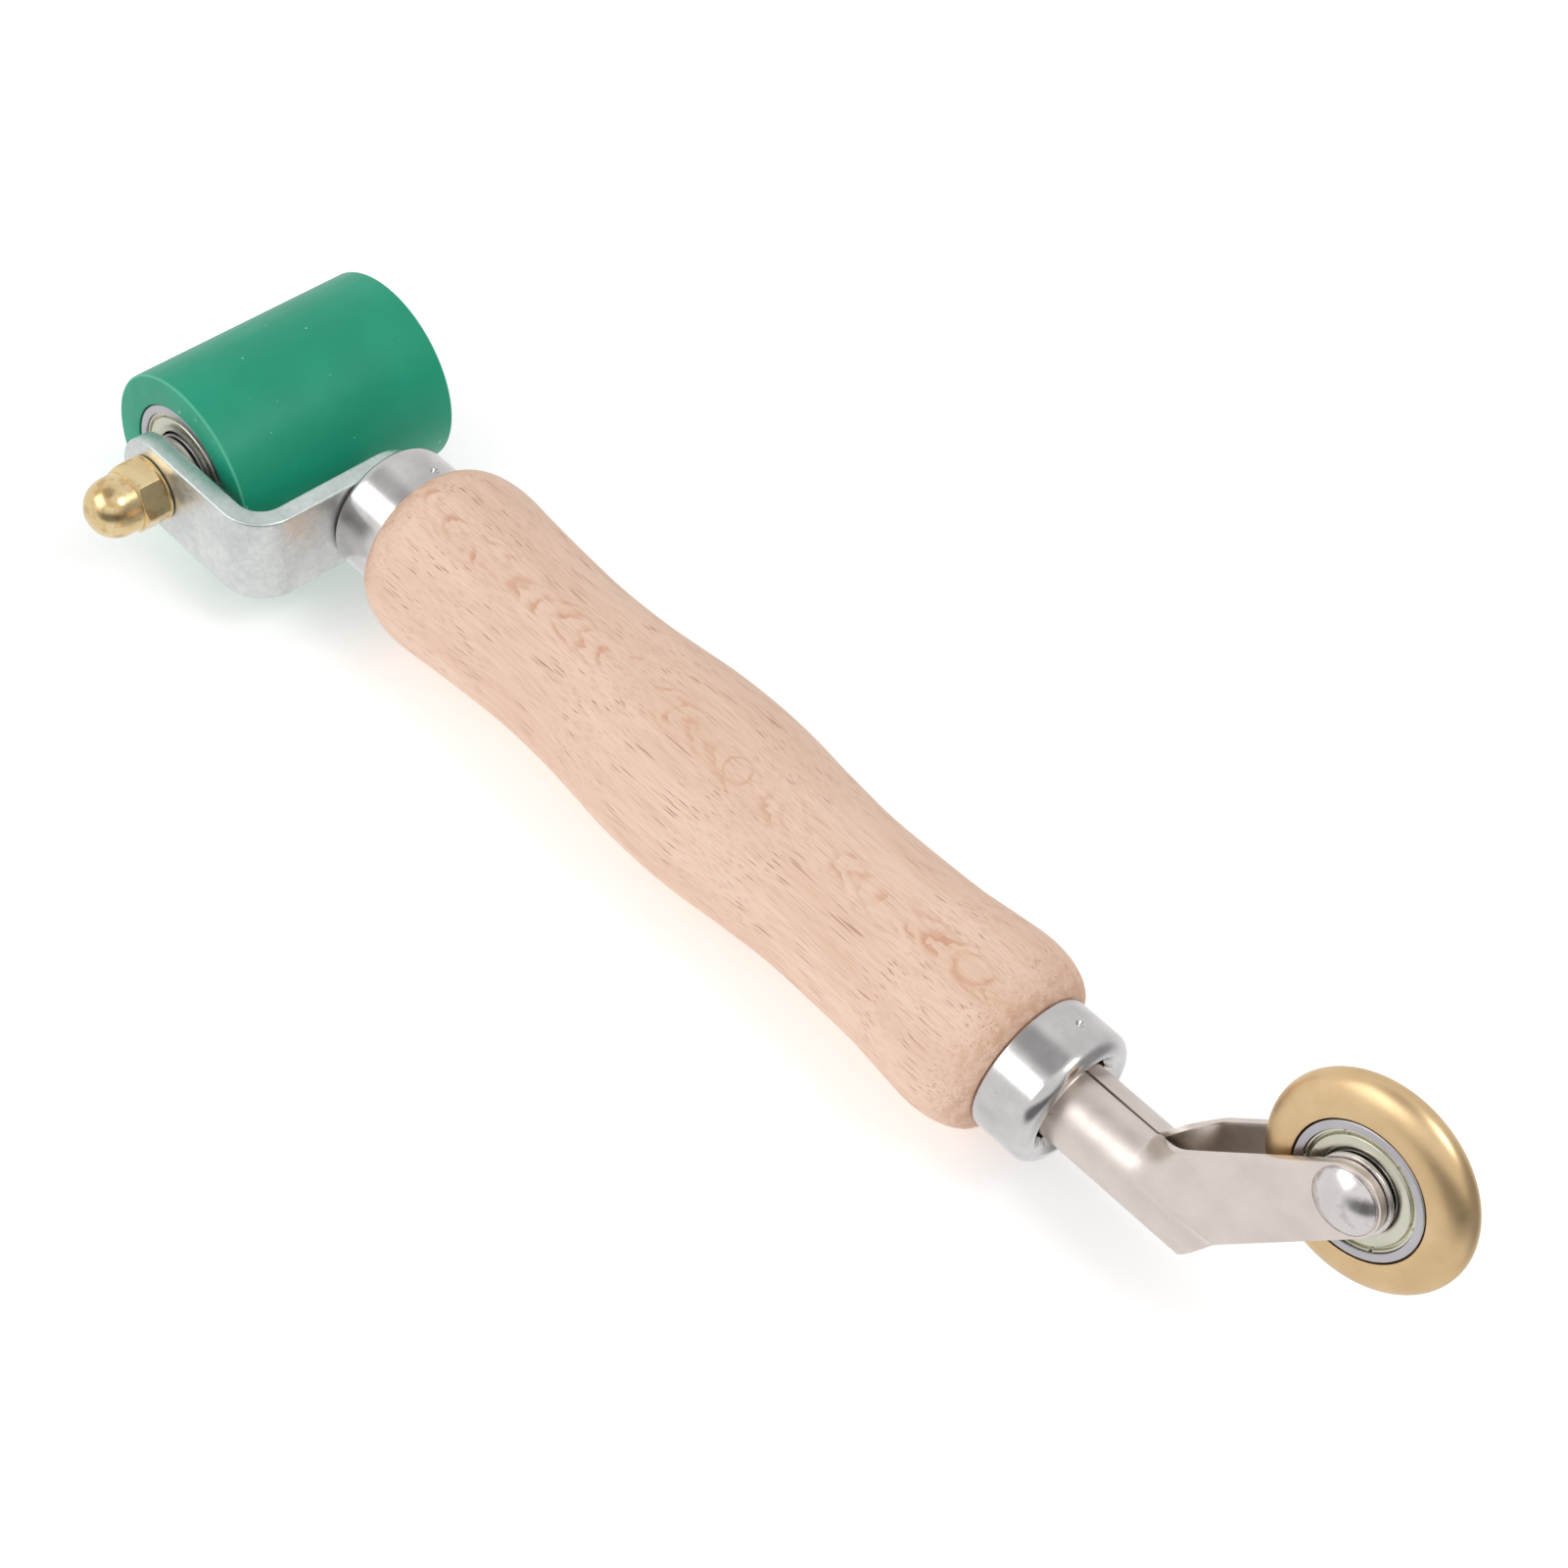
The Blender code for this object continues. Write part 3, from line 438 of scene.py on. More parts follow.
def beech_look():
    """Bare sanded beech: ring figure along one line, short dark rays, fine pores."""
    look = Look("beech_wood", 0.0, 0.55)
    slope = (0.0, 1.5, 3.0)
    grain = look.scaled((1.0, 1.0, 1.0), (-16.0, 0.0, 0.0))
    x, side, _ = look.parts(grain)
    wander = look.noise(look.scaled((60.0, 60.0, 60.0)), 1.0, 2.0, 0.5)
    side = look.math("ADD", side, look.math("MULTIPLY", look.math("SUBTRACT", wander, 0.5), 0.004))
    bow = look.math("MULTIPLY", look.math("MULTIPLY", side, side), 560.0)
    drift = look.noise(look.scaled((210.0, 320.0, 320.0)), 1.0, 3.0, 0.6)
    ring = look.math("MULTIPLY", look.math("SUBTRACT", x, bow), 215.0)
    ring = look.math("ADD", ring, look.math("MULTIPLY", drift, 2.2))
    phase = look.math("FRACT", ring)
    late = look.math("MULTIPLY", look.span(phase, 0.30, 0.80), look.span(phase, 1.0, 0.90))
    near = look.span(look.math("ABSOLUTE", side), 0.0046, 0.0010)
    patch = look.span(look.noise(look.scaled((170.0, 330.0, 330.0)), 1.0, 2.0), 0.40, 0.66)
    figure = look.math("MULTIPLY", late, look.math("MULTIPLY", near, patch))
    for spot, size in RING_EYES:
        run = look.math("MULTIPLY", look.math("SUBTRACT", x, spot), 1.0 / size)
        across = look.math("MULTIPLY", side, 1.25 / size)
        out = look.math("SQRT", look.math("ADD", look.math("MULTIPLY", run, run),
                                          look.math("MULTIPLY", across, across)))
        out = look.math("ADD", out, look.math("MULTIPLY", look.math("SUBTRACT", drift, 0.5), 1.5))
        eye = look.math("MULTIPLY", look.span(out, 0.62, 0.95), look.span(out, 1.12, 0.98))
        eye = look.math("MULTIPLY", eye, look.span(drift, 0.30, 0.62, 0.25, 1.0))
        figure = look.math("MULTIPLY", figure, look.span(out, 0.9, 1.2))
        figure = look.math("MAXIMUM", figure, look.math("MULTIPLY", eye, 0.8))

    tone = look.noise(look.scaled((24.0, 190.0, 190.0)), 1.0, 4.0, 0.55)
    base = look.mix(look.span(tone, 0.25, 0.75), rgb(232, 197, 173), rgb(241, 211, 190))
    fibre = look.noise(look.scaled((90.0, 3200.0, 3200.0), slope), 1.0, 4.0, 0.7)
    base = look.mix(look.span(fibre, 0.42, 0.72, 0.0, 0.46), base, rgb(212, 169, 140))
    base = look.mix(look.math("MULTIPLY", figure, 0.60), base, rgb(205, 143, 110))

    long_rays, number = look.cells(look.scaled((85.0, 3600.0, 3600.0), slope), 1.0)
    size = look.span(number, 0.35, 1.0, 0.02, 0.36)
    rays = look.span(long_rays, size, look.math("MULTIPLY", size, 0.55))
    rays = look.math("MULTIPLY", rays, look.span(near, 0.8, 0.2))
    base = look.mix(look.math("MULTIPLY", rays, 0.72), base, rgb(158, 106, 82))
    short_rays, _ = look.cells(look.scaled((120.0, 4200.0, 4200.0), slope), 1.0)
    short = look.span(short_rays, 0.34, 0.12)
    base = look.mix(look.math("MULTIPLY", short, 0.36), base, rgb(178, 126, 99))

    away = look.math("ABSOLUTE", look.math("SUBTRACT", x, 0.0036))
    burnish = look.span(away, 0.0570, 0.0625)
    torn = look.noise(look.scaled((900.0, 500.0, 500.0)), 1.0, 4.0, 0.6)
    mark = look.math("MULTIPLY", burnish, look.span(torn, 0.42, 0.62, 0.15, 0.62))
    look.colour(look.mix(mark, base, rgb(205, 156, 126)))
    look.rough(look.span(fibre, 0.3, 0.8, 0.50, 0.66))
    lathe_mark = look.noise(look.scaled((2600.0, 60.0, 60.0)), 1.0, 2.0)
    look.bump((fibre, 0.030), (rays, -0.02), (look.math("MULTIPLY", torn, burnish), 0.10),
              (lathe_mark, 0.012))
    look.shader.inputs["Specular IOR Level"].default_value = 0.35
    return look.mat


def metal_look(name, low, high, rough_low, rough_high, axis=None, fine=9000.0, relief=0.004,
               blotch=None, pits=0.0):
    """Metal with a colour that drifts, worked marks round an axis, smears and small pits."""
    look = Look(name, 1.0, rough_low)
    drift = look.noise(look.place, 160.0, 4.0, 0.55)
    base = look.mix(look.span(drift, 0.3, 0.7), low, high)
    if axis:
        marks = look.turned_noise(axis, fine, 2.0)
    else:
        marks = look.noise(look.place, fine * 0.4, 3.0, 0.6)
    smear = look.noise(look.place, 430.0, 5.0, 0.6)
    layers = [(marks, relief)]
    if blotch:
        stain = look.span(look.noise(look.place, 300.0, 5.0, 0.65), 0.48, 0.64)
        base = look.mix(look.math("MULTIPLY", stain, 0.6), base, blotch)
    if pits:
        distance, number = look.cells(look.place, 900.0)
        size = look.math("MULTIPLY", look.span(number, 0.6, 1.0), 0.16)
        pit = look.span(distance, size, 0.0)
        base = look.mix(look.math("MULTIPLY", pit, 0.5), base, (0.25, 0.24, 0.23, 1.0))
        layers.append((pit, -pits))
    look.colour(base)
    worn = look.math("ADD", look.math("MULTIPLY", smear, 0.65), look.math("MULTIPLY", marks, 0.35))
    look.rough(look.span(worn, 0.3, 0.7, rough_low, rough_high))
    look.bump(*layers)
    return look.mat


def plate_look(name, low, high, sheared):
    """Clear zinc on steel strap: fine spangle and rolling marks, or shear lines on the edges."""
    look = Look(name, 0.92, 0.36)
    drift = look.noise(look.place, 120.0, 5.0, 0.6)
    base = look.mix(look.span(drift, 0.3, 0.7), low, high)
    spangle, number = look.cells(look.place, 1500.0)
    base = look.mix(look.span(number, 0.0, 1.0, 0.0, 0.16), base, (0.36, 0.39, 0.38, 1.0))
    distance, which = look.cells(look.place, 520.0)
    speck = look.math("LESS_THAN", distance, look.math("MULTIPLY", look.span(which, 0.7, 1.0), 0.1))
    look.colour(look.mix(look.math("MULTIPLY", speck, 0.45), base, (0.30, 0.31, 0.30, 1.0)))
    stretch = (2600.0, 2600.0, 260.0) if sheared else (500.0, 500.0, 2400.0)
    marks = look.noise(look.scaled(stretch), 1.0, 3.0, 0.6)
    look.rough(look.span(marks, 0.3, 0.7, 0.30, 0.46))
    look.bump((spangle, 0.006), (marks, 0.02 if sheared else 0.007))
    return look.mat


SILICONE = silicone_look()
BEECH = beech_look()
ZINC = plate_look("zinc_plate", rgb(222, 225, 224), rgb(240, 242, 240), False)
# Sheared edges: real shear lines, with a green tint that is a painted reflection of the silicone
# sleeve
ZINC_EDGE_GREEN_REFLECTION = plate_look("zinc_edge_green_reflection", rgb(206, 219, 216), rgb(232, 241, 238), True)
CUP = metal_look("bright_cup", rgb(206, 203, 203), rgb(226, 223, 222), 0.13, 0.21, "X",
                 7000.0, 0.003, pits=0.01)
NICKEL = metal_look("satin_nickel", rgb(228, 218, 210), rgb(240, 229, 221), 0.34, 0.44, None,
                    11000.0, 0.012)
WHEEL_BRASS = metal_look("wheel_brass", rgb(226, 193, 146), rgb(236, 206, 160), 0.30, 0.38, "Y",
                         8000.0, 0.004)
NUT_BRASS = metal_look("nut_brass", rgb(236, 208, 154), rgb(246, 224, 176), 0.16, 0.27, "Y",
                       5000.0, 0.004, rgb(196, 158, 100), 0.01)
RING_STEEL = metal_look("bearing_steel", rgb(192, 189, 194), rgb(206, 203, 207), 0.26, 0.36, "Y",
                        16000.0, 0.003)
SHIELD_ZINC = metal_look("shield_zinc", rgb(212, 211, 193), rgb(228, 226, 209), 0.22, 0.34, "Y",
                         5000.0, 0.004)
POLISHED = metal_look("polished_steel", rgb(222, 217, 216), rgb(236, 231, 229), 0.17, 0.27, "Y",
                      6000.0, 0.003, rgb(176, 168, 166))
ALLOY = metal_look("core_alloy", rgb(190, 192, 195), rgb(208, 210, 212), 0.28, 0.38, "Y",
                   9000.0, 0.005)


# ---------------------------------------------------------------- roller end


def silicone_sleeve():
    """Thick silicone tube with rounded rims."""
    left, right = ROLLER_LEFT, ROLLER_RIGHT
    corners = [(left, SLEEVE_BORE_R, 0.15), (left, ROLLER_R, 0.40), (right, ROLLER_R, 0.40),
               (right, SLEEVE_BORE_R, 0.15), (right - SLEEVE_LIP, SLEEVE_BORE_R, 0.0),
               (right - SLEEVE_LIP, SLEEVE_SEAT_R, 0.0), (left + SLEEVE_LIP, SLEEVE_SEAT_R, 0.0),
               (left + SLEEVE_LIP, SLEEVE_BORE_R, 0.0)]
    bm = lathe(fillet(corners, True), 192, "Y", True)
    piece = make_piece("silicone_sleeve_detail", bm, ROLLER_AT, SILICONE)
    attach(piece, "roller", "silicone", "silicone_sleeve")


def bearing_rings(prefix, size, place, body_out):
    """Outer ring with eased corners, and inner ring, round one set of balls."""
    outer_r, half, pitch, race, land_out, seat, bore, land_in = size

    def groove(limit, land, sign):
        reach = math.sqrt(race * race - (pitch - land) ** 2)
        points = [(-limit, land)]
        for along in spaced(-reach, reach, reach / 6.0):
            points.append((along, pitch + sign * math.sqrt(race * race - along * along)))
        return points + [(limit, land)]

    shoulder = half - 1.05
    corners = [(shoulder, seat, 0.0), (half, seat, 0.08), (half, outer_r, 0.28),
               (-half, outer_r, 0.28), (-half, seat, 0.08), (-shoulder, seat, 0.0)]
    profile = fillet(corners) + groove(shoulder, land_out, 1.0)
    outer = make_piece(prefix + "_outer_ring_detail", lathe(profile, 144, "Y", True), place,
                       RING_STEEL)
    attach(outer, body_out, "bearing_steel", prefix + "_outer_ring")
    corners = [(half, land_in, 0.1), (half, bore, 0.2), (-half, bore, 0.2), (-half, land_in, 0.1)]
    profile = groove(half, land_in, -1.0)[1:-1] + fillet(corners, True)
    inner = make_piece(prefix + "_inner_ring_detail", lathe(profile, 144, "Y", True), place,
                       RING_STEEL)
    attach(inner, "tool", "bearing_steel", prefix + "_inner_ring")


def bearing_shield(name, size, side, place, body):
    """Pressed shield: crimped rim with small splits, a valley, then a domed face."""
    _, half, _, _, _, seat, _, land_in = size
    rim = seat - 0.05
    inner = land_in + 0.3
    crown = inner + 0.45 * (rim - 0.75 - inner)
    outside = [(half - 0.85, rim, 0.0), (half - 0.30, rim, 0.10), (half - 0.26, rim - 0.34, 0.10),
               (half - 0.80, rim - 0.44, 0.05), (half - 0.80, rim - 0.60, 0.05),
               (half - 0.24, rim - 0.82, 0.25), (half - 0.06, crown, 1.4),
               (half - 0.34, inner + 0.12, 0.2), (half - 0.52, inner, 0.0)]
    inside = [(along - 0.28, radius, 0.0) for along, radius, _ in outside[::-1]]
    inside[-1] = (half - 1.0, rim, 0.0)
    profile = fillet(outside) + [(a, r) for a, r, _ in inside[:-1]] + [inside[-1][:2]]
    profile = [(side * a, r) for a, r in profile]

    def splits(along, radius, angle):
        across = abs(turn_between(angle * 6.0, 0.7)) / 6.0
        if radius > rim - 0.45 and across < 0.026:
            return along - side * 0.45, radius
        return along, radius

    bm = lathe(profile, 288, "Y", True, splits)
    piece = make_piece(name + "_detail", bm, place, SHIELD_ZINC, 50.0)
    attach(piece, body, "shield_zinc", name)


def round_washer(name, low, high, start, end, edge, place, slot, material):
    """Washer or spacer with eased edges."""
    corners = [(start, low, edge * 0.5), (start, high, edge), (end, high, edge),
               (end, low, edge * 0.5)]
    bm = lathe(fillet(corners, True), 128, "Y", True)
    attach(make_piece(name + "_detail", bm, place, material), "tool", slot, name)


def axle_bolt():
    """Axle with a domed head at the roller's free end."""
    shoulder = ARM_OUT_Y + STRAP_T + 0.3
    head = ROLLER_RIGHT + 1.0
    tip = ARM_OUT_Y - 7.2
    corners = [(tip, 0.0, 0.0), (tip, 2.5, 0.1), (ARM_OUT_Y - 6.7, 3.0, 0.2),
               (shoulder, 3.0, 0.0), (shoulder, 3.8, 0.1), (head, 3.8, 0.0), (head, 6.5, 0.2),
               (head + 1.35, 6.5, 0.5), (head + 2.5, 5.1, 2.0), (head + 2.9, 2.6, 4.0),
               (head + 2.9, 0.0, 0.0)]
    piece = make_piece("roller_axle_detail", lathe(fillet(corners), 128, "Y"), ROLLER_AT, POLISHED)
    attach(piece, "tool", "polished_steel", "roller_axle")


def cap_nut():
    """Acorn nut: hexagon with turned chamfers that cut arcs into its flats, collar and dome."""
    base = ARM_OUT_Y - 0.2
    foot = base - 0.5
    tip = ARM_OUT_Y - NUT_HEIGHT
    hex_top = ARM_OUT_Y - 5.1
    half_flat = 0.5 * NUT_AF
    corner = half_flat / math.cos(math.radians(30.0)) - 0.1
    steps = 144
    angles = [2.0 * math.pi * i / steps + math.radians(NUT_TURN) for i in range(steps)]
    turn = math.radians(60.0)
    hexagon = []
    for i in range(steps):
        away = (2.0 * math.pi * i / steps) % turn - 0.5 * turn
        hexagon.append(min(corner, half_flat / math.cos(away)))

    def ring(alongs, radii):
        return [(r * math.cos(t), a, r * math.sin(t)) for a, r, t in zip(alongs, radii, angles)]

    def circle(along, radius):
        return ring([along] * steps, [radius] * steps)

    low_r, high_r = 5.06, 4.92
    slope = math.tan(math.radians(30.0))
    rings = [circle(base, 3.2), circle(base, 5.25), circle(base - 0.08, 5.35),
             circle(foot + 0.08, 5.35), circle(foot, 5.2)]
    rings.append(ring([foot] * steps, [min(r, low_r) for r in hexagon]))
    rings.append(ring([foot - max(0.0, r - low_r) * slope for r in hexagon], hexagon))
    rings.append(ring([hex_top + max(0.0, r - high_r) * slope for r in hexagon], hexagon))
    rings.append(ring([hex_top] * steps, [min(r, high_r) for r in hexagon]))
    rings.append(circle(hex_top - 0.02, NUT_DOME_R + 0.02))
    centre = tip + NUT_DOME_R
    for i in range(20):
        angle = math.radians(90.0 + 88.0 * i / 19.0)
        flat = 1.0 - 0.03 * smoothstep(150.0, 180.0, math.degrees(angle))
        rings.append(circle(centre + NUT_DOME_R * flat * math.cos(angle),
                            NUT_DOME_R * math.sin(angle)))
    rings.append([(0.0, centre - NUT_DOME_R * 0.97, 0.0)])
    bm = skin(rings)
    inner = skin([circle(base, 3.2), circle(tip + 2.6, 3.2), [(0.0, tip + 2.6, 0.0)]])
    spare = bpy.data.meshes.new("nut_bore")
    inner.to_mesh(spare)
    inner.free()
    bm.from_mesh(spare)
    bpy.data.meshes.remove(spare)
    piece = make_piece("cap_nut_detail", bm, ROLLER_AT, NUT_BRASS, 14.0)
    attach(piece, "tool", "nut_brass", "cap_nut")


def l_bracket():
    """Bent strap with rounded ends, eased edges and sheared sides."""
    arm_y = ARM_OUT_Y + 0.5 * STRAP_T
    plate_x = PLATE_REAR_X - 0.5 * STRAP_T
    bend_r = BEND_OUT_R - 0.5 * STRAP_T
    straight = plate_x - bend_r - ROLLER_X
    bent = straight + bend_r * math.pi / 2.0
    end = bent - (arm_y + bend_r)

    def place(s, out, up):
        if s <= straight:
            return (ROLLER_X + s, arm_y - out, up)
        if s >= bent:
            return (plate_x + out, s - bent + arm_y + bend_r, up)
        angle = (s - straight) / bend_r - math.pi / 2.0
        reach = bend_r + out
        return (plate_x - bend_r + reach * math.cos(angle),
                arm_y + bend_r + reach * math.sin(angle), up)

    def outline(inset):
        reach = STRAP_HALF - inset
        points = [(-reach * math.cos(a), reach * math.sin(a))
                  for a in (math.radians(v) for v in spaced(0.0, 90.0, 5.0))]
        points += [(s, reach) for s in spaced(0.0, straight, 2.5)[1:]]
        points += [(s, reach) for s in spaced(straight, bent, 0.35)[1:]]
        points += [(s, reach) for s in spaced(bent, end, 2.5)[1:]]
        points += [(end + reach * math.sin(a), reach * math.cos(a))
                   for a in (math.radians(v) for v in spaced(0.0, 90.0, 5.0)[1:])]
        return points

    ease = 0.42
    levels = []
    for degrees in (90.0, 66.0, 44.0, 22.0, 0.0):
        angle = math.radians(degrees)
        levels.append((0.5 * STRAP_T - ease + ease * math.sin(angle),
                       ease - ease * math.cos(angle)))
    levels += [(-out, inset) for out, inset in reversed(levels)]
    bm = bmesh.new()
    rows = []
    for out, inset in levels:
        half = outline(inset)
        upper = [bm.verts.new(place(s, out, w)) for s, w in half]
        lower = [bm.verts.new(place(s, out, -w)) for s, w in half[1:-1]]
        rows.append((upper, [upper[0]] + lower + [upper[-1]]))
    for (up0, low0), (up1, low1) in zip(rows, rows[1:]):
        for a, b in ((up0, up1), (low0, low1)):
            for i in range(len(a) - 1):
                bm.faces.new((a[i], a[i + 1], b[i + 1], b[i])).material_index = 1
    for upper, lower in (rows[0], rows[-1]):
        for i in range(len(upper) - 1):
            corners = []
            for vert in (upper[i], upper[i + 1], lower[i + 1], lower[i]):
                if vert not in corners:
                    corners.append(vert)
            bm.faces.new(corners)
    piece = make_piece("l_bracket_detail", bm, TOOL_AT, ZINC)
    piece.data.materials.append(ZINC_EDGE_GREEN_REFLECTION)
    drill(piece, 3.3, ARM_OUT_Y - 2.0, ARM_OUT_Y + STRAP_T + 2.0, "Y", ROLLER_AT)
    drill(piece, 4.2, PLATE_REAR_X - STRAP_T - 2.0, PLATE_REAR_X + 2.0, "X", TOOL_AT)
    attach(piece, "tool", "zinc_plate", "l_bracket")


# ---------------------------------------------------------------- handle


def handle_radius(x):
    """Smooth curve through the handle's turning radii."""
    points = HANDLE_CURVE
    last = len(points) - 1
    for i in range(last):
        x0, r0 = points[i]
        x1, r1 = points[i + 1]
        if x <= x1 or i == last - 1:
            before = points[max(0, i - 1)]
            after = points[min(last, i + 2)]
            span = x1 - x0
            t = min(1.0, max(0.0, (x - x0) / span))
            m0 = (r1 - before[1]) / (x1 - before[0]) * span
            m1 = (after[1] - r0) / (after[0] - x0) * span
            t2 = t * t
            t3 = t2 * t
            return ((2 * t3 - 3 * t2 + 1) * r0 + (t3 - 2 * t2 + t) * m0
                    + (3 * t2 - 2 * t3) * r1 + (t3 - t2) * m1)
    return points[-1][1]


def handle():
    """Turned beech handle."""
    stations = spaced(HANDLE_FRONT, -54.0, 0.2) + spaced(-54.0, 60.0, 0.8)[1:]
    stations += spaced(60.0, HANDLE_REAR, 0.2)[1:]
    profile = [(TANG_HOLE_END, 0.0), (TANG_HOLE_END, TANG_HOLE_R), (SPIGOT_FRONT, TANG_HOLE_R),
               (SPIGOT_FRONT, SPIGOT_R), (HANDLE_FRONT, SPIGOT_R)]
    profile += [(x, handle_radius(x)) for x in stations]
    profile += [(HANDLE_REAR, SPIGOT_R), (SPIGOT_REAR, SPIGOT_R), (SPIGOT_REAR, SHANK_HOLE_R),
                (SHANK_HOLE_END, SHANK_HOLE_R), (SHANK_HOLE_END, 0.0)]
    bm = lathe(profile, 160, "X")
    piece = make_piece("handle_detail", bm, TOOL_AT, BEECH, 60.0)
    attach(piece, "tool", "beech", "handle")


def staked(at):
    """Shape for a cup with one round stake mark."""
    def shape(along, radius, angle):
        if radius < FERRULE_R - 0.3:
            return along, radius
        across = radius * turn_between(angle, math.radians(STAKE_TURN))
        away = math.hypot(along - at, across)
        pit = STAKE_DEPTH * math.exp(-(away / 0.46) ** 2)
        raised_rim = 0.09 * math.exp(-((away - 0.85) / 0.25) ** 2)
        return along, radius - (pit - raised_rim)
    return shape


def ferrule_front():
    """Bright cup between the bracket's plate and the handle."""
    start = HANDLE_FRONT - 0.2
    end = FERRULE_FRONT_END
    body = [(a, FERRULE_R, 0.0) for a in spaced(start - 0.6, end + 1.6, 0.22)]
    corners = [(start, FERRULE_R - FERRULE_T, 0.0), (start, FERRULE_R, 0.25)] + body
    corners += [(end, FERRULE_R, 0.8), (end, CUP_HOLE_R, 0.0), (end + FERRULE_T, CUP_HOLE_R, 0.0),
                (end + FERRULE_T, FERRULE_R - FERRULE_T, 0.3)]
    bm = lathe(fillet(corners, True), 256, "X", True, staked(STAKE_FRONT_X))
    piece = make_piece("ferrule_front_detail", bm, TOOL_AT, CUP)
    attach(piece, "tool", "bright_cup", "ferrule_front")


def ferrule_rear():
    """Bright cup whose end rolls over and dips to a notched hole."""
    start = HANDLE_REAR + 0.2
    end = FERRULE_REAR_END
    body = [(a, FERRULE_R, 0.0) for a in spaced(start + 0.6, end - 2.6, 0.22)]
    corners = [(start, FERRULE_R - FERRULE_T, 0.0), (start, FERRULE_R, 0.25)] + body
    corners += [(end, FERRULE_R, 2.1), (end, 8.35, 0.45), (end - 0.55, 7.55, 0.6),
                (end - 1.6, 6.6, 0.15), (end - 2.2, 6.7, 0.0), (end - 1.3, 7.85, 0.0),
                (end - 0.9, 8.6, 0.4), (end - 1.1, FERRULE_R - FERRULE_T, 1.0)]
    stake = staked(STAKE_REAR_X)

    def shape(along, radius, angle):
        if radius < 7.3 and abs(turn_between(angle * 5.0, 1.3)) / 5.0 < 0.05:
            return along, radius + 0.25
        return stake(along, radius, angle)

    bm = lathe(fillet(corners, True), 256, "X", True, shape)
    piece = make_piece("ferrule_rear_detail", bm, TOOL_AT, CUP)
    attach(piece, "tool", "bright_cup", "ferrule_rear")


# ---------------------------------------------------------------- fork end


def arm_top(x):
    """Upper edge of the arms in side view."""
    slope = math.radians(ARM_TOP_SLOPE)
    if x > WHEEL_X - ARM_END_R * math.sin(slope):
        return WHEEL_Z + math.sqrt(max(0.0, ARM_END_R ** 2 - (x - WHEEL_X) ** 2))
    return WHEEL_Z + ARM_END_R / math.cos(slope) + math.tan(slope) * (x - WHEEL_X)


def arm_bottom(x):
    """Lower edge of the arms in side view."""
    run = WHEEL_X - KNEE_X
    rise = WHEEL_Z - CREASE_Z
    slope = math.atan2(rise, run) - math.asin(ARM_END_R / math.hypot(run, rise))
    if x > WHEEL_X + ARM_END_R * math.sin(slope):
        return WHEEL_Z - math.sqrt(max(0.0, ARM_END_R ** 2 - (x - WHEEL_X) ** 2))
    return CREASE_Z + math.tan(slope) * (x - KNEE_X)


def sheet_point(run, opening, inset):
    """Point above the crease, where the tube unrolls into a flat arm."""
    lean0 = (0.5 * math.pi - CREASE) * (1.0 - opening)
    bend = (1.0 - opening) / FORK_R
    lean = lean0 + run * bend
    if bend < 1e-6:
        y = -ARM_Y
        z = CREASE_Z + run
    else:
        y = -ARM_Y + (math.cos(lean0) - math.cos(lean)) / bend
        z = CREASE_Z + (math.sin(lean) - math.sin(lean0)) / bend
    return (y + inset * math.cos(lean), z - inset * math.sin(lean))


def fork_station(x, low_steps, high_steps, inset):
    """Half section from its lowest point up to its free edge."""
    ahead = max(0.0, x - SHANK_END) / (ARM_START - SHANK_END)
    opening = smoothstep(0.0, 1.0, ahead ** OPENING_EASE)
    rise = arm_top(x) - CREASE_Z - SEAM_RUN
    top_run = SEAM_RUN + 0.5 * (rise + math.sqrt(rise * rise + TOP_EASE ** 2))
    if x > WHEEL_X - 12.0 or x < SHANK_END - 6.0:
        top_run = max(SEAM_RUN, SEAM_RUN + rise)
    points = []
    low_run = 0.0
    if x <= KNEE_X:
        start = 0.0
        if x > HEEL_X:
            level = -FORK_R + (CREASE_Z + FORK_R) * (x - HEEL_X) / (KNEE_X - HEEL_X)
            start = math.acos(max(-1.0, min(1.0, -level / FORK_R)))
        radius = FORK_R - inset
        for i in range(low_steps):
            turn = start + (math.pi - CREASE - start) * i / low_steps
            points.append((x, -radius * math.sin(turn), -radius * math.cos(turn)))
    else:
        low_run = arm_bottom(x) - CREASE_Z
    for i in range(high_steps + 1):
        y, z = sheet_point(low_run + (top_run - low_run) * i / high_steps, opening, inset)
        points.append((x, y, z))
    return points


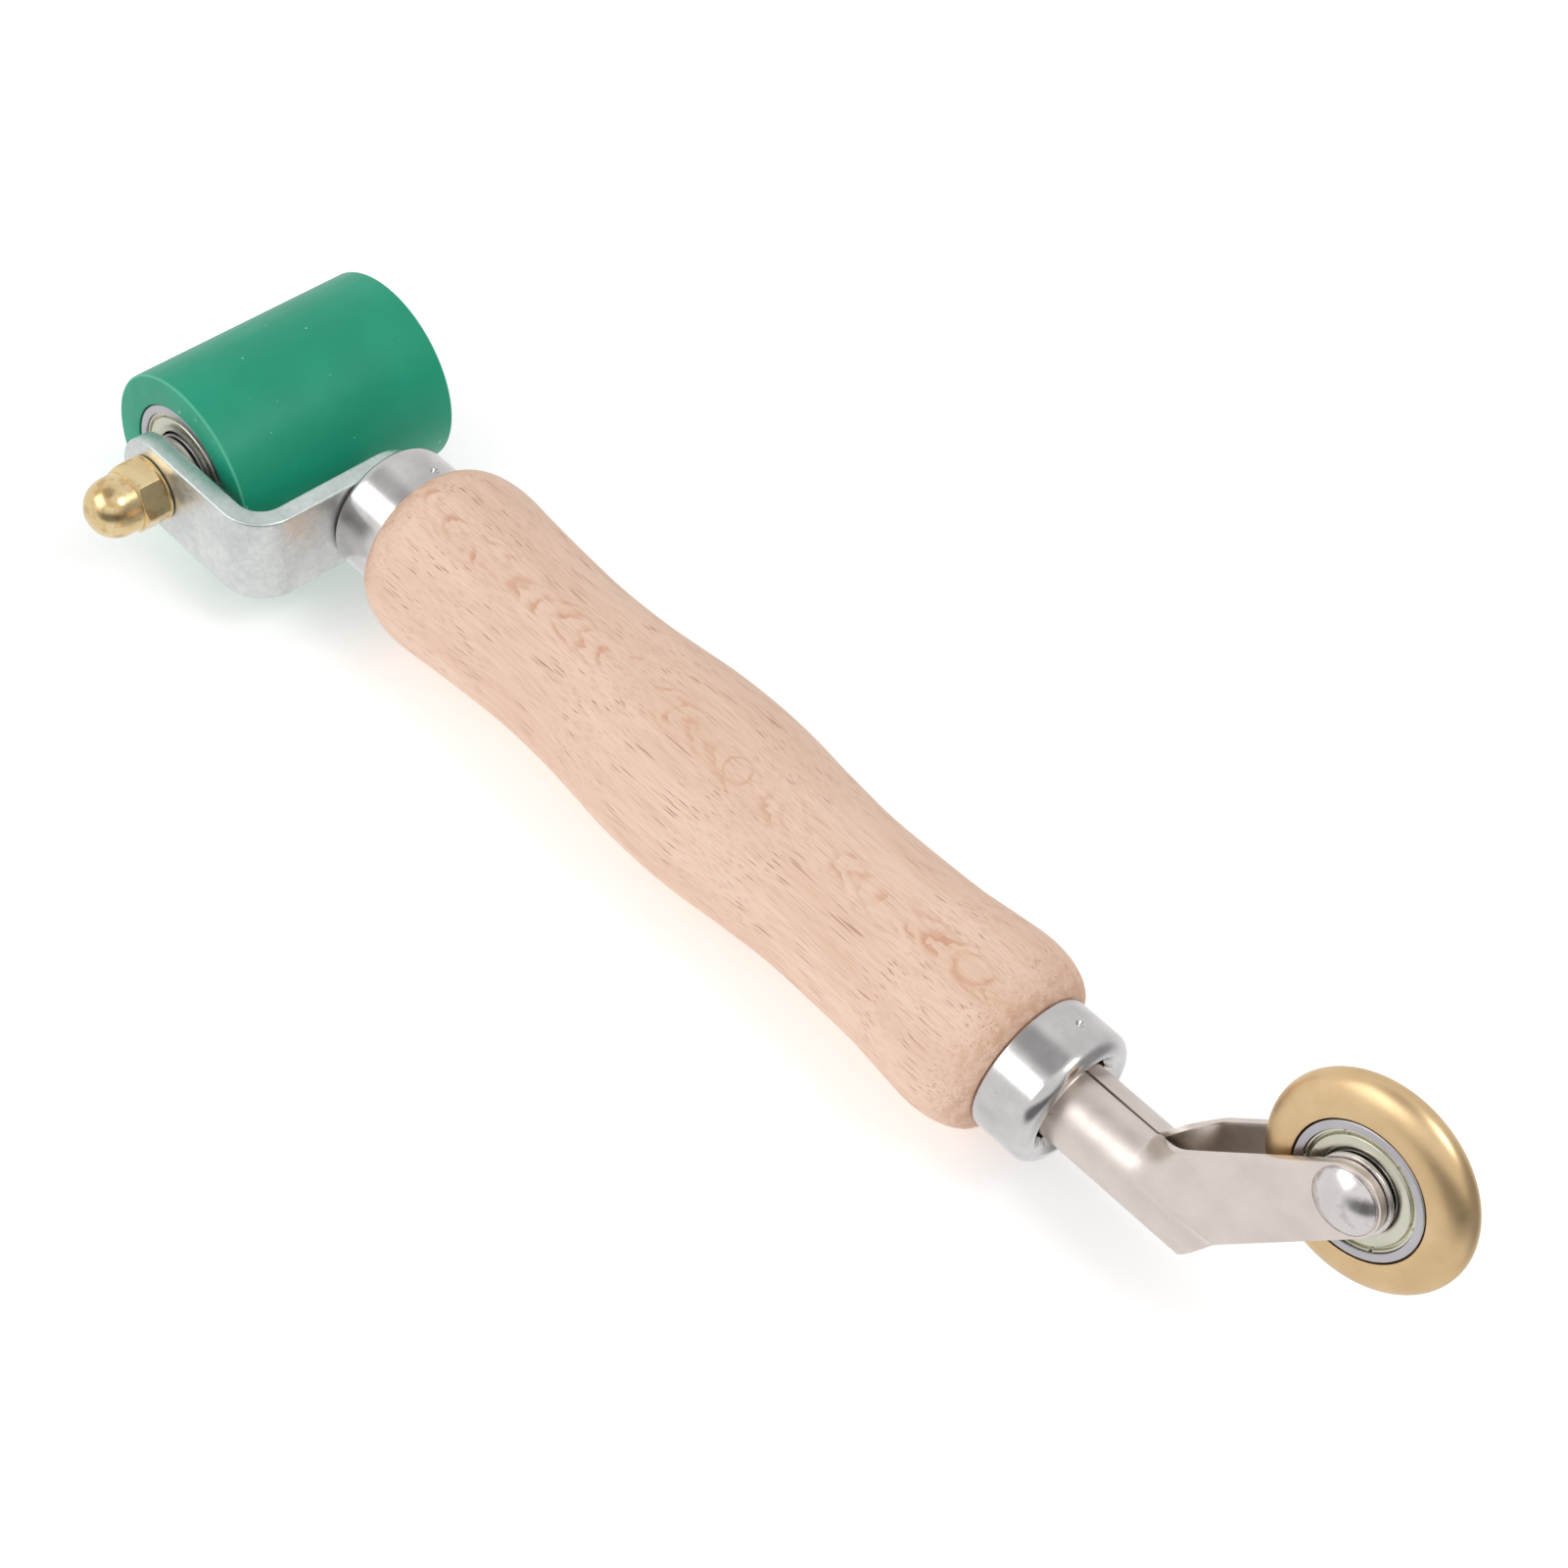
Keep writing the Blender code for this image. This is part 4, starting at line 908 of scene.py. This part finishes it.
def fork_half(bm, side):
    """One half of the pressed sheet."""
    low_steps, high_steps = 22, 12
    stations = spaced(SHANK_START, SHANK_END, 3.5) + spaced(SHANK_END, ARM_START, 0.3)[1:]
    stations += spaced(ARM_START, HEEL_X, 0.6)[1:] + spaced(HEEL_X, KNEE_X, 0.35)[1:]
    stations += spaced(KNEE_X, WHEEL_X - 2.0, 1.0)[1:]
    stations += [WHEEL_X + ARM_END_R * math.sin(math.radians(a)) for a in spaced(-20.0, 88.0, 4.0)]
    rows = []
    for x in stations:
        low = low_steps if x <= KNEE_X else 0
        outer = [(px, side * py, pz) for px, py, pz in fork_station(x, low, high_steps, 0.0)]
        inner = [(px, side * py, pz) for px, py, pz in fork_station(x, low, high_steps, FORK_T)]
        rows.append((x, [bm.verts.new(p) for p in outer], [bm.verts.new(p) for p in inner]))

    def face(*verts):
        if len({v.co.to_tuple(5) for v in verts}) > 2:
            bm.faces.new(verts)

    for (_, outer0, inner0), (x1, outer1, inner1) in zip(rows, rows[1:]):
        if len(outer0) != len(outer1):
            face(outer0[low_steps], inner0[0], inner0[low_steps])
            outer0 = outer0[low_steps:]
            inner0 = inner0[low_steps:]
        for i in range(len(outer0) - 1):
            face(outer0[i], outer0[i + 1], outer1[i + 1], outer1[i])
            face(inner0[i], inner1[i], inner1[i + 1], inner0[i + 1])
        face(outer0[-1], inner0[-1], inner1[-1], outer1[-1])
        if x1 > HEEL_X:
            face(outer0[0], outer1[0], inner1[0], inner0[0])
    for _, outer, inner in (rows[0], rows[-1]):
        for i in range(len(outer) - 1):
            face(outer[i], inner[i], inner[i + 1], outer[i + 1])


def fork():
    """Fork pressed from one sheet, with eased edges."""
    bm = bmesh.new()
    fork_half(bm, 1.0)
    fork_half(bm, -1.0)
    piece = make_piece("fork_detail", bm, FORK_AT, NICKEL, 28.0)
    bevel = piece.modifiers.new("edges", "BEVEL")
    bevel.width = 0.16 * MM
    bevel.segments = 2
    bevel.limit_method = "ANGLE"
    bevel.angle_limit = math.radians(42.0)
    freeze(piece, 28.0)
    drill(piece, 3.2, -9.0, 9.0, "Y", WHEEL_AT)
    piece.data.set_sharp_from_angle(angle=math.radians(28.0))
    attach(piece, "tool", "satin_nickel", "fork")


def brass_wheel():
    """Brass tyre with a full round rim and a narrow flat at its bore."""
    bore = 9.7
    flat = bore + 0.5
    corners = [(-WHEEL_HALF, bore, 0.12), (-WHEEL_HALF, flat, 0.0)]
    for degrees in spaced(-86.0, 86.0, 4.0):
        angle = math.radians(degrees)
        radius = flat + (WHEEL_R - flat) * math.cos(angle)
        corners.append((WHEEL_HALF * math.sin(angle), radius, 0.0))
    corners += [(WHEEL_HALF, flat, 0.0), (WHEEL_HALF, bore, 0.12)]
    bm = lathe(fillet(corners, True), 192, "Y", True)
    piece = make_piece("brass_wheel_detail", bm, WHEEL_AT, WHEEL_BRASS, 50.0)
    attach(piece, "wheel", "wheel_brass", "brass_wheel")


def wheel_rivet():
    """Rivet with a low domed head and a peened tail."""
    left = -ARM_Y - 0.1
    right = ARM_Y + 0.15
    head_r, head_h = RIVET_HEAD_R, RIVET_HEAD_H
    radius = (head_r ** 2 + head_h ** 2) / (2.0 * head_h)
    reach = math.asin(head_r / radius)
    corners = [(left - head_h, 0.0, 0.0)]
    for i in range(1, 22):
        angle = reach * i / 22.0
        corners.append((left - head_h + radius - radius * math.cos(angle),
                        radius * math.sin(angle), 0.0))
    corners += [(left - 0.35, head_r, 0.18), (left, head_r, 0.1), (left, 2.8, 0.0),
                (right, 2.8, 0.0), (right, 4.0, 0.1), (right + 0.7, 3.85, 0.4),
                (right + 1.2, 3.0, 0.6), (right + 1.3, 1.2, 0.8), (right + 1.15, 0.0, 0.0)]
    piece = make_piece("wheel_rivet_detail", lathe(fillet(corners), 128, "Y"), WHEEL_AT, POLISHED)
    attach(piece, "tool", "polished_steel", "wheel_rivet")


def ball_bearing(prefix, size, place, body):
    """Rings and shields of one bearing whose outer ring rides on a body."""
    bearing_rings(prefix, size, place, body)
    bearing_shield(prefix + "_shield_left", size, -1.0, place, body)
    bearing_shield(prefix + "_shield_right", size, 1.0, place, body)


def bearings():
    """The three ball bearings' visible pieces."""
    for prefix, y in (("left_bearing", ROLLER_LEFT + BEARING_INSET),
                      ("right_bearing", ROLLER_RIGHT - BEARING_INSET)):
        place = ROLLER_AT @ Matrix.Translation((0.0, y * MM, 0.0))
        ball_bearing(prefix, ROLLER_BEARING, place, "roller")
    ball_bearing("wheel_bearing", WHEEL_BEARING, WHEEL_AT, "wheel")


def hidden_pieces():
    """Materials for the CAD nodes that are right as they are."""
    for name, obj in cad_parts.items():
        if "_ball_" in name:
            material = POLISHED
        elif name.endswith("_cage") or name == "roller_core":
            material = ALLOY
        elif name in ("tang", "spacer_tube"):
            material = RING_STEEL
        else:
            continue
        obj.data.materials.clear()
        obj.data.materials.append(material)


# ---------------------------------------------------------------- studio


def area_light(name, at, size, power):
    """Soft rectangular light aimed at the handle's middle."""
    data = bpy.data.lights.new(name, "AREA")
    data.shape = "RECTANGLE"
    data.size, data.size_y = size
    data.energy = power
    obj = bpy.data.objects.new(name, data)
    obj.location = at
    obj.rotation_euler = (-Vector(at)).to_track_quat("-Z", "Y").to_euler()
    bpy.context.scene.collection.objects.link(obj)


def floor():
    """Plain pale sweep under the tool."""
    bm = bmesh.new()
    bmesh.ops.create_grid(bm, x_segments=8, y_segments=8, size=3000.0)
    look = Look("floor_pale", 0.0, 0.9)
    tone = look.noise(look.place, 3.0, 2.0)
    look.colour(look.mix(tone, (0.90, 0.90, 0.90, 1.0), (0.92, 0.92, 0.92, 1.0)))
    look.shader.inputs["Emission Color"].default_value = (1.0, 1.0, 1.0, 1.0)
    look.shader.inputs["Emission Strength"].default_value = FLOOR_GLOW
    plane = make_piece("floor", bm, Matrix.Translation((0.0, 0.0, FLOOR_Z)), look.mat)
    plane.visible_glossy = False


def studio_world():
    """Bright tent, dark low in front of the tool and dimmer overhead, past the wheel and behind."""
    world = bpy.data.worlds.new("studio")
    world.use_nodes = True
    tree = world.node_tree
    shade = tree.nodes["Background"]
    where = tree.nodes.new("ShaderNodeTexCoord")
    level = None
    for direction, squash, edge, core, keep in WORLD_PATCHES:
        stretch = tree.nodes.new("ShaderNodeVectorMath")
        stretch.operation = "MULTIPLY"
        stretch.inputs[1].default_value = (1.0, 1.0, squash)
        tree.links.new(where.outputs["Generated"], stretch.inputs[0])
        facing = tree.nodes.new("ShaderNodeVectorMath")
        facing.operation = "DISTANCE"
        middle = Vector(direction).normalized()
        facing.inputs[1].default_value = (middle.x, middle.y, middle.z * squash)
        tree.links.new(stretch.outputs["Vector"], facing.inputs[0])
        dim = tree.nodes.new("ShaderNodeMapRange")
        dim.interpolation_type = "SMOOTHSTEP"
        tree.links.new(facing.outputs["Value"], dim.inputs[0])
        for i, value in enumerate((edge, core, 1.0, keep)):
            dim.inputs[i + 1].default_value = value
        if level is None:
            level = dim.outputs[0]
            continue
        both = tree.nodes.new("ShaderNodeMath")
        both.operation = "MULTIPLY"
        tree.links.new(level, both.inputs[0])
        tree.links.new(dim.outputs[0], both.inputs[1])
        level = both.outputs[0]
    tree.links.new(level, shade.inputs["Color"])
    shade.inputs["Strength"].default_value = WORLD_STRENGTH
    bpy.context.scene.world = world


def studio():
    """World, lights and camera."""
    scene = bpy.context.scene
    studio_world()
    area_light("key", *KEY_LIGHT)
    area_light("top", *TOP_LIGHT)
    scene.view_settings.view_transform = "Standard"
    data = bpy.data.cameras.new("camera")
    data.sensor_width = 36.0
    data.lens = CAMERA_LENS
    data.shift_x, data.shift_y = CAMERA_SHIFT
    data.clip_start = 0.01
    camera = bpy.data.objects.new("camera", data)
    camera.rotation_mode = "QUATERNION"
    camera.rotation_quaternion = CAMERA_TURN
    camera.location = CAMERA_AT
    scene.collection.objects.link(camera)
    scene.camera = camera


def build():
    """Make every piece and the studio."""
    silicone_sleeve()
    bearings()
    arm_in = ARM_OUT_Y + STRAP_T
    round_washer("arm_spacer", 4.05, 5.9, arm_in + 0.2, ROLLER_LEFT - 0.1, 0.2, ROLLER_AT,
                 "bearing_steel", RING_STEEL)
    round_washer("head_washer", 4.05, 6.2, ROLLER_RIGHT, ROLLER_RIGHT + 0.75, 0.15, ROLLER_AT,
                 "bearing_steel", RING_STEEL)
    axle_bolt()
    cap_nut()
    l_bracket()
    handle()
    ferrule_front()
    ferrule_rear()
    fork()
    brass_wheel()
    washer_out = ARM_Y - FORK_T - 0.2
    round_washer("washer_left", WASHER_BORE_R, RIVET_WASHER_R, -washer_out, -WASHER_IN_Y, 0.2,
                 WHEEL_AT, "polished_steel", POLISHED)
    round_washer("washer_right", WASHER_BORE_R, RIVET_WASHER_R, WASHER_IN_Y, washer_out, 0.2,
                 WHEEL_AT, "polished_steel", POLISHED)
    wheel_rivet()
    hidden_pieces()
    floor()
    studio()


build()
